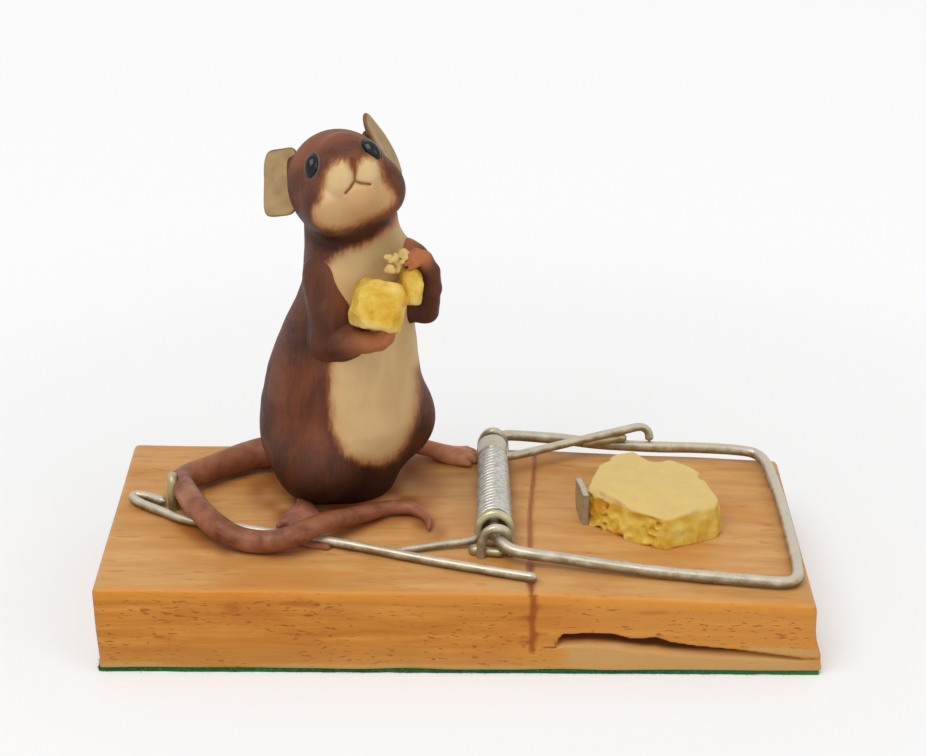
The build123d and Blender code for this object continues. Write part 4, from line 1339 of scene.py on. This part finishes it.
def fur_layers(points):
    """Painted layers of the body and the head"""
    y, z = points.T[1:]
    q = head_local(points)
    chest = chest_margin(points)
    face = np.minimum(painted_within(points, FACE_OUTLINE), np.minimum(q[:, 0] + 5.0, -(y - HEAD[1]) + 1.0))
    parting = crease(points)
    above = parting > 0
    cream = np.where(above, face, chest)
    strokes = 1 - ease(stroke_distance(points, MUZZLE_LINES), 0.05, 0.3)
    nose = 1 - ease(np.linalg.norm((in_photo(points) - NOSE[0]) / NOSE[1], axis=1), 0.6, 1.3)
    line = np.maximum(strokes * 0.9, nose * 0.5) * ease(q[:, 0], 3.5, 4.5)
    rim = np.zeros(len(points))
    for side in (0, 1):
        wide, tall = EYE_SIZE
        axes = eye_axes(side)
        local = (points - on_head(*EYE_PLACES[side])) @ axes.T
        reach = np.hypot(local[:, 1] / (wide + 0.1), local[:, 2] / (tall + 0.1))
        rim = np.maximum(rim, (1 - ease(np.abs(reach - 1), 0.05, 0.14)) * (local[:, 0] > -1.2))
    # Painted shade in the neck crease under the chin, and along the bottom of the body by the board
    neck_crease_shade = ease(-np.abs(parting), -3.2, -0.8) * ease(-y, -9, -4)
    dark = np.maximum(0.75 * neck_crease_shade, 1 - ease(z, 13.2, 24))
    dark = np.maximum(dark, 0.5 * ease(-q[:, 1], 4.5, 7) * ease(-q[:, 2], -1, 4) * above)
    warm = ease(q[:, 2], 1, 5) * ease(q[:, 0], -3, 3) * above * 0.9
    warm = np.maximum(warm, 0.5 * ease(lumps(points, 5.0, 91), 0.1, 0.7))
    chin = ease(-q[:, 2], 2.4, 5.5) + 0.5 * ease(q[:, 1], 3.5, 6)
    tan = np.where(above, chin, np.maximum(ease(-z, -24, -15), 0.5 * (1 - ease(chest, 0.5, 2.0))))
    tan = tan * ease(cream, -0.5, 0.5)
    return {"cream": np.clip(cream, -4, 4), "line": line, "rim": rim, "dark": dark, "warm": warm, "tan": tan}


def make_body(finish):
    def form(points):
        body, head = body_form(points), head_form(points)
        solid = kept(joined(body, head, 1.4) + 0.05, (body - head) * 0.5 - 0.9, 0.1)
        deck = board_top(points[:, 0])
        return kept(solid, deck - 0.05 - points[:, 2], 0.3)

    body = sculpted("fur_body", form, (-31.0, -9.0, 11.6), (1.6, 25.0, 60.5), 0.29, finish, fur_layers)
    return filed(body, "fur", "mouse_torso", "left_thigh", "right_thigh")


def make_head(finish):
    def form(points):
        body, head = body_form(points), head_form(points)
        return kept(joined(body, head, 1.4), (head - body) * 0.5 - 0.1, 0.1)

    head = sculpted("fur_head", form, (-25.6, -7.0, 47.6), (-4.0, 16.4, 71.6), 0.17, finish, fur_layers)
    return filed(head, "fur", "mouse_head")


def make_eye(name, side, finish, node):
    centre = on_head(*EYE_PLACES[side])
    axes = eye_axes(side)
    wide, tall = EYE_SIZE
    rings, spokes = 18, 28
    points, quads = [], []
    for i in range(rings + 1):
        lift = math.pi * i / rings
        for j in range(spokes):
            turn = 2 * math.pi * j / spokes
            points.append(
                centre + axes[0] * EYE_DEPTH * math.cos(lift)
                + axes[1] * (wide - EYE_GAP) * math.sin(lift) * math.cos(turn)
                + axes[2] * (tall - EYE_GAP) * math.sin(lift) * math.sin(turn)
            )
    for i in range(rings):
        for j in range(spokes):
            k = (j + 1) % spokes
            quads.append((i * spokes + j, (i + 1) * spokes + j, (i + 1) * spokes + k, i * spokes + k))
    bead = mesh_object(name, points, np.array(quads), finish)
    merged(bead)
    return filed(bead, "eye", node)


def merged(piece):
    """Points that coincide made one, and faces turned outward"""
    work = bmesh.new()
    work.from_mesh(piece.data)
    bmesh.ops.remove_doubles(work, verts=work.verts, dist=1e-7)
    bmesh.ops.recalc_face_normals(work, faces=work.faces)
    work.to_mesh(piece.data)
    work.free()


RIGHT_EAR = ((-3.3, -8.25, 3.6), (0.85, -0.45, 0.1), (-0.27, -0.29), (2.7, 4.85), 4.6)
LEFT_EAR = ((-2.5, 6.1, 3.75), (0.45, 0.88, 0.05), (-0.15, 0.44), (3.1, 5.1), 1.8)


def make_ear(name, place, facing, lean, half, squareness, finish, node):
    """Dished plate of an ear; the lean takes its long way forward and aside of the head's upright"""
    centre = on_head(*place)
    normal = unit(np.array(facing) @ HEAD_AXES)
    rise = HEAD_AXES[2] - lean[0] * HEAD_AXES[0] - lean[1] * HEAD_AXES[1]
    upright = unit(rise - (rise @ normal) * normal)
    axes = np.array([np.cross(upright, normal), upright, normal], np.float32)

    def on_plate(points):
        """Places across and up the plate, and out of its dish"""
        w, h, n = ((points - centre) @ axes.T).astype(np.float32).T
        return w, h, n - (0.05 * w * w + 0.018 * h * h)

    def outline(w, h):
        reach = (np.abs(w / half[0])**squareness + np.abs(h / half[1])**squareness)**(1 / squareness)
        return (reach - 1) * half[0]

    def form(points):
        w, h, out = on_plate(points)
        return kept(outline(w, h), np.abs(out) - 0.5, 0.7) + 0.05 * lumps(points, 1.8, 95)

    def layers(points):
        w, h, out = on_plate(points)
        face = ease(out, -0.1, 0.3)
        inner = 1 - ease(outline(w, h), -0.3, 0.1)
        root = ease(h, half[1] * 0.6, half[1]) * ease(-w, -1.5, 1)
        return {"rim": np.clip(1 - face * inner + 0.5 * root, 0, 1)}

    low, high = centre - 6.5, centre + 6.5
    return filed(sculpted(name, form, low, high, 0.15, finish, layers), "fur", node)


RIGHT_ARM = (
    (0.12, -0.165, 0.86, 2.3), (0.152, -0.184, 0.764, 2.2), (0.15, -0.18, 0.645, 2.1),
    (0.24, -0.16, 0.652, 1.65), (0.3, -0.132, 0.668, 1.5), (0.335, -0.114, 0.678, 1.35),
    (0.362, -0.105, 0.7, 1.15), (0.375, -0.103, 0.746, 0.6),
)
LEFT_ARM = (
    (0.236, 0.123, 0.869, 2.5), (0.286, 0.141, 0.701, 1.75), (0.323, 0.128, 0.796, 1.55),
    (0.338, 0.112, 0.869, 1.4), (0.339, 0.084, 0.919, 1.15), (0.332, 0.055, 0.939, 0.95),
)
RIGHT_FINGERS = (
    ((0.365, -0.112, 0.69), (0.385, -0.104, 0.712), (0.383, -0.092, 0.742)),
    ((0.35, -0.118, 0.675), (0.375, -0.122, 0.69), (0.388, -0.116, 0.72)),
)
LEFT_FINGERS = (
    ((0.332, 0.055, 0.942), (0.328, 0.03, 0.945), (0.319, 0.012, 0.935)),
    ((0.338, 0.058, 0.93), (0.34, 0.034, 0.93), (0.325, 0.013, 0.914)),
    ((0.345, 0.062, 0.92), (0.35, 0.04, 0.915), (0.338, 0.022, 0.9)),
)


def arm_layers(flesh_from, flesh_span, most):
    """Layers of an arm, whose flesh grows towards the paw"""
    def layers(points):
        reach = (points - flesh_from) @ unit(flesh_span)
        flesh = ease(reach, 0, np.linalg.norm(flesh_span)) * most
        zero = np.zeros(len(points))
        return {
            "cream": zero - 4, "line": zero, "rim": zero,
            "dark": 0.3 * (1 - flesh), "warm": 0.2 + zero, "flesh": flesh,
        }
    return layers


def make_arm(name, rows, fingers, thickness, fleshy, most, seed, finish, node):
    """Arm through places with a radius each, its fingers, and a soft root where it lies on the body"""
    places = [on_mouse(*row[:3]) for row in rows]
    radii = [row[3] for row in rows]
    fingers = [[on_mouse(*place) for place in finger] for finger in fingers]

    def form(points):
        solid = limb(points, places, radii)
        solid = kept(joined(solid, body_form(points) + 0.15, 2.4), solid - 1.2, 0.5)
        for root, knuckle, tip in fingers:
            first = taper(points, root, knuckle, thickness, thickness * 0.88)
            digit = joined(first, taper(points, knuckle, tip, thickness * 0.88, thickness * 0.6), 0.2)
            solid = joined(solid, digit, 0.35)
        return solid + 0.08 * lumps(points, 1.6, seed)

    spots = np.array(places + [p for finger in fingers for p in finger])
    low, high = spots.min(0) - 4.4, spots.max(0) + 4.4
    layers = arm_layers(places[fleshy[0]], places[fleshy[1]] - places[fleshy[0]], most)
    return filed(sculpted(name, form, low, high, 0.16, finish, layers), "fur", node)


def make_foot(name, start, heading, length, half_width, height, root, toe_spread, softness, finish, node):
    turn = math.radians(heading)
    ahead = np.array([math.cos(turn), math.sin(turn), 0])
    side = np.array([-math.sin(turn), math.cos(turn), 0])
    deck = float(board_top(np.array(start[0])))
    heel = np.array([start[0], start[1], deck + height])

    def at(forward, across, up):
        return heel + forward * length * ahead + across * half_width * side + (up - height) * UP

    toes = [
        (
            at(0.55, s * 0.4, 0.8),
            at(0.82, s * toe_spread * 0.8, 0.72),
            at(1.0 - 0.1 * abs(s), s * toe_spread, 0.5),
        )
        for s in (-0.9, -0.3, 0.3, 0.9)
    ]

    def form(points):
        solid = taper(points, at(0, 0, height), at(0.68, 0, 0.8), root, 1.1)
        sole = egg(points, at(0.72, 0, 0.5), (length * 0.26, half_width * 0.8, 1.0), (ahead, side, UP))
        solid = joined(solid, sole, 1.2)
        for heel_end, knuckle, tip in toes:
            toe_root = taper(points, heel_end, knuckle, 0.62, 0.72)
            digit = joined(toe_root, taper(points, knuckle, tip, 0.72, 0.45), 0.2)
            solid = joined(solid, digit, softness)
        solid = solid + 0.07 * lumps(points, 1.3, 111)
        return kept(solid, board_top(points[:, 0]) - 0.05 - points[:, 2], 0.2)

    spots = np.array([heel] + [p for toe in toes for p in toe])
    low, high = spots.min(0) - 2.2, spots.max(0) + 2.2
    return filed(sculpted(name, form, low, high, 0.15, finish), "skin", node)


TAIL = (
    (-23.95, 15.45, 2.99, 2.3), (-29.95, 14.45, 2.5, 2.25), (-33.7, 12.2, 2.3, 2.07),
    (-36.7, 9.7, 2.2, 1.93), (-39.2, 7.45, 2.3, 1.85), (-40.2, 4.7, 2.6, 1.75), (-39.2, 1.2, 3.0, 1.72),
    (-36.7, -5.05, 3.4, 1.7), (-33.7, -9.05, 2.7, 1.7), (-30.45, -11.05, 1.95, 1.66),
    (-26.45, -11.8, 1.8, 1.62), (-23.2, -11.3, 2.4, 1.56), (-19.7, -9.3, 3.2, 1.5),
    (-16.7, -6.3, 2.6, 1.4), (-13.7, -2.8, 1.6, 1.26), (-10.45, -0.3, 1.3, 1.12),
    (-7.45, 0.2, 1.2, 0.95), (-5.45, -1.05, 1.0, 0.75), (-4.4, -3.0, 0.8, 0.55),
    (-4.3, -5.4, 0.55, 0.32),
)
BIG_CHAMFERS = (
    ((-0.75, 0.15, 0.6), 1.14), ((-0.8, 0.1, -0.6), 1.12), ((0.45, 0.5, 0.74), 1.3), ((0.75, 0.3, -0.6), 1.2),
    ((0.75, 0.66, 0.1), 1.12),
)
SMALL_CHAMFERS = (
    ((0.5, 0.4, -0.75), 1.05), ((-0.6, 0.5, -0.6), 1.1), ((0.7, 0.6, 0.5), 1.15), ((-0.5, 0.8, 0.3), 1.1),
)


def crumb_cluster(count, seed):
    """Crumbs at the left paw, each a place and a radius"""
    rng = np.random.default_rng(seed)
    spread = rng.uniform(-1, 1, (count, 3)) * (0.008, 0.058, 0.03)
    return [(on_mouse(*((0.315, 0.004, 0.925) + offset)), rng.uniform(0.28, 0.7)) for offset in spread]


def make_tail(finish):
    rows = [(x, y, float(board_top(np.array(x))) + h, r) for x, y, h, r in TAIL]
    run = evened(flowing(rows, 10), 0.4)
    radii = run[:, 3] * hand_made(run[:, :3], 2.6, 0.05, 121)
    radii = rounded_ends(run, radii, 0.9)
    return filed(swept("bare_tail", run[:, :3], radii, 2.0, 22, finish), "skin", "tail")


def make_held_cheese(name, centre, half, turns, chamfers, seed, finish, node, crumbs=()):
    """Broken block of cheese turned, tipped and rolled by degrees, with crumbs beside it"""
    centre = np.array(centre, np.float32)
    turn, tip, roll = (math.radians(a) for a in turns)
    ahead = np.array([math.sin(turn) * math.cos(tip), -math.cos(turn) * math.cos(tip), math.sin(tip)])
    level = unit(np.cross(UP, ahead))
    upright = np.cross(level, ahead)
    side = math.cos(roll) * level + math.sin(roll) * upright
    axes = np.array([side, ahead, np.cross(side, ahead)])
    size = np.array(half, np.float32)

    def form(points):
        solid = block(points, centre, axes, size, 0.5)
        local = ((points - centre) @ axes.T).astype(np.float32) / size
        for direction, reach in chamfers:
            solid = kept(solid, (local @ unit(direction) - reach) * float(size.min()), 0.25)
        for place, radius in crumbs:
            solid = joined(solid, egg(points, place, (radius, radius * 0.7, radius * 0.85)), 0.12)
        return solid + 0.2 * lumps(points, 1.2, seed) + 0.08 * lumps(points, 0.45, seed + 2)

    def layers(points):
        local = (points - centre) @ axes.T / size
        crumbled = ease(np.abs(local).max(1), 1.1, 1.3)
        deep = 0.5 * ease(lumps(points, 1.5, seed + 1), 0.1, 0.8) + 0.35 * ease(local[:, 0], 0.2, 0.9)
        return {
            "rind": np.maximum(ease(local[:, 2], 0.45, 0.95) * 0.7, crumbled),
            "deep": deep * (1 - ease(local[:, 2], 0.3, 0.9)) * (1 - crumbled),
        }

    spots = np.array([centre - size.max() * 1.3, centre + size.max() * 1.3] + [c[0] for c in crumbs])
    low, high = spots.min(0) - 1.2, spots.max(0) + 1.2
    return filed(sculpted(name, form, low, high, 0.15, finish, layers), "cheese", node)


# Making

def direct_rays(tree):
    """1 for rays that are seen, mirrored or let through, so that the surroundings show as plain white"""
    rays = put(tree, "ShaderNodeLightPath").outputs
    seen = sums(tree, "MAXIMUM", rays["Is Camera Ray"], rays["Is Glossy Ray"])
    return sums(tree, "MAXIMUM", seen, rays["Is Transmission Ray"])


def make_floor():
    half = 3.0
    mesh = bpy.data.meshes.new("white_table")
    corners = [(x, y, 0) for x, y in ((-half, -half), (half, -half), (half, half), (-half, half))]
    mesh.from_pydata(corners, [], [(0, 1, 2, 3)])
    floor = added("white_table", mesh)
    material, tree, coords = new_finish("white_table")
    paper = clouds(tree, coords, 6, 2, 0.5)
    colour = tone(tree, paper, ((0.2, (0.9, 0.897, 0.893, 1)), (0.8, (0.93, 0.927, 0.923, 1))))
    shader = close_finish(tree, colour, 0.7, paper, 0.0001, 0.1, Specular_IOR_Level=0.1)
    away = put(tree, "ShaderNodeVectorMath", {0: coords}, operation="LENGTH").outputs["Value"]
    share = sums(tree, "MULTIPLY", steps(tree, away, 0.055, 0.17, 0.3, 0.82), direct_rays(tree))
    glow = put(tree, "ShaderNodeEmission", {"Color": (1, 1, 1, 1), "Strength": 1.0})
    mixer = put(tree, "ShaderNodeMixShader", {0: share, 1: shader.outputs[0], 2: glow.outputs[0]})
    out = next(item for item in tree.nodes if item.type == "OUTPUT_MATERIAL")
    tree.links.new(mixer.outputs[0], out.inputs["Surface"])
    mesh.materials.append(material)


def make_light():
    world = bpy.data.worlds.new("studio")
    bpy.context.scene.world = world
    world.use_nodes = True
    tree = world.node_tree
    tree.nodes.clear()
    room = put(tree, "ShaderNodeBackground", {"Color": (1, 1, 1, 1), "Strength": 0.56})
    plain = put(tree, "ShaderNodeBackground", {"Color": (1, 1, 1, 1), "Strength": 1.0})
    mixer = put(tree, "ShaderNodeMixShader", {0: direct_rays(tree), 1: room.outputs[0], 2: plain.outputs[0]})
    out = put(tree, "ShaderNodeOutputWorld")
    tree.links.new(mixer.outputs[0], out.inputs[0])
    soft_lamp("key_lamp", (-0.25, -0.35, 0.75), (0, 0, 0.03), 0.55, 3.7)
    soft_lamp("fill_lamp", (0.6, -0.45, 0.4), (0, 0, 0.03), 0.5, 1.0)


photo_camera()
make_floor()
make_light()
bpy.context.scene.view_settings.view_transform = "Standard"

follow_route = round_along_route()
scatter = scattered_on_surface()

felt = green_felt()
wire = silver_paint("silver_wire_paint", (156, 142, 112), (204, 196, 176), (120, 100, 66))
khaki = silver_paint("khaki_wire_paint", (156, 142, 98), (178, 166, 124), (122, 104, 64))
strip = silver_paint("grey_strip_paint", (164, 156, 134), (186, 178, 156), (136, 126, 100))
wound = wound_silver(SPRING_X * MM, SPRING_Z * MM, 0.0026)
fur = painted_fur()
ears = ear_paint()
skin = bare_skin("tail_skin", ((98, 50, 32), (136, 82, 54), (154, 98, 68), (170, 118, 86)))
foot_pink = bare_skin("pink_foot_skin", ((118, 68, 50), (144, 88, 66), (162, 104, 80), (176, 120, 96)))
# Left foot: the same skin painted lighter, as painted light that offsets the body's shadow on it
lightened_foot_skin = bare_skin("foot_skin_painted_light", ((168, 104, 74), (198, 132, 94), (212, 146, 106), (222, 162, 122)))
cheese = yellow_cheese()
beads = glossy_eye()

make_board()
make_felt(felt)
make_hoop(wire)
make_spring(wound, wire)
make_collar(wire)
make_web("striker_web", ((18.5, 20.0, 14.5), (24.6, 21.3, 14.9)), (0.55, 0.6), khaki, "spring")
make_web("staple_web", ((2.2, -11.2, 13.0), (5.6, -12.0, 13.2)), (0.9, 0.7), khaki, "wire")
make_staple("near_staple_wire", NEAR_STAPLE, 1.3, wire, "near_staple")
make_staple("far_staple_wire", FAR_STAPLE, 1.3, wire, "far_staple")
make_staple("rod_staple_wire", ROD_STAPLE, 1.4, khaki, "rod_staple")
make_rod(wire)
make_bait(cheese)
make_strip(strip)
make_body(fur)
make_head(fur)
make_eye("right_eye_bead", 0, beads, "right_eye")
make_eye("left_eye_bead", 1, beads, "left_eye")
make_ear("right_ear_plate", *RIGHT_EAR, ears, "right_ear")
make_ear("left_ear_plate", *LEFT_EAR, ears, "left_ear")
make_arm(
    "fur_right_arm", RIGHT_ARM, RIGHT_FINGERS,
    thickness=0.62, fleshy=(2, 6), most=0.75, seed=101, finish=fur, node="right_arm",
)
make_arm(
    "fur_left_arm", LEFT_ARM, LEFT_FINGERS,
    thickness=0.5, fleshy=(3, 5), most=0.9, seed=103, finish=fur, node="left_arm",
)
make_foot(
    "right_foot_skin", start=(-22.2, 4.4), heading=-90, length=9.8, half_width=3.1, height=2.4,
    root=1.1, toe_spread=1.15, softness=1.2, finish=foot_pink, node="right_foot",
)
make_foot(
    "left_foot_skin", start=(-8.4, 19.3), heading=-8, length=11.2, half_width=2.6, height=2.4,
    root=1.35, toe_spread=0.98, softness=0.45, finish=lightened_foot_skin, node="left_foot",
)
make_tail(skin)
make_web("tail_fold", ((-40.6, 5.2, 15.6), (-40.9, 4.6, 15.9)), (1.35, 1.25), skin, "skin")
make_web("tail_web", ((-23.5, -8.8, 12.9), (-18.5, -10.1, 12.8)), (0.85, 0.7), skin, "skin")
make_held_cheese(
    "right_cheese_lump", centre=(-11.1, -1.8, 45.7), half=(3.5, 2.9, 3.35), turns=(14, 22, 16),
    chamfers=BIG_CHAMFERS, seed=131, finish=cheese, node="right_cheese",
)
make_held_cheese(
    "left_cheese_lump", centre=(-6.81, 1.5, 47.3), half=(1.55, 1.7, 2.5), turns=(14, 22, 8),
    chamfers=SMALL_CHAMFERS, seed=141, finish=cheese, node="left_cheese", crumbs=crumb_cluster(34, 151),
)
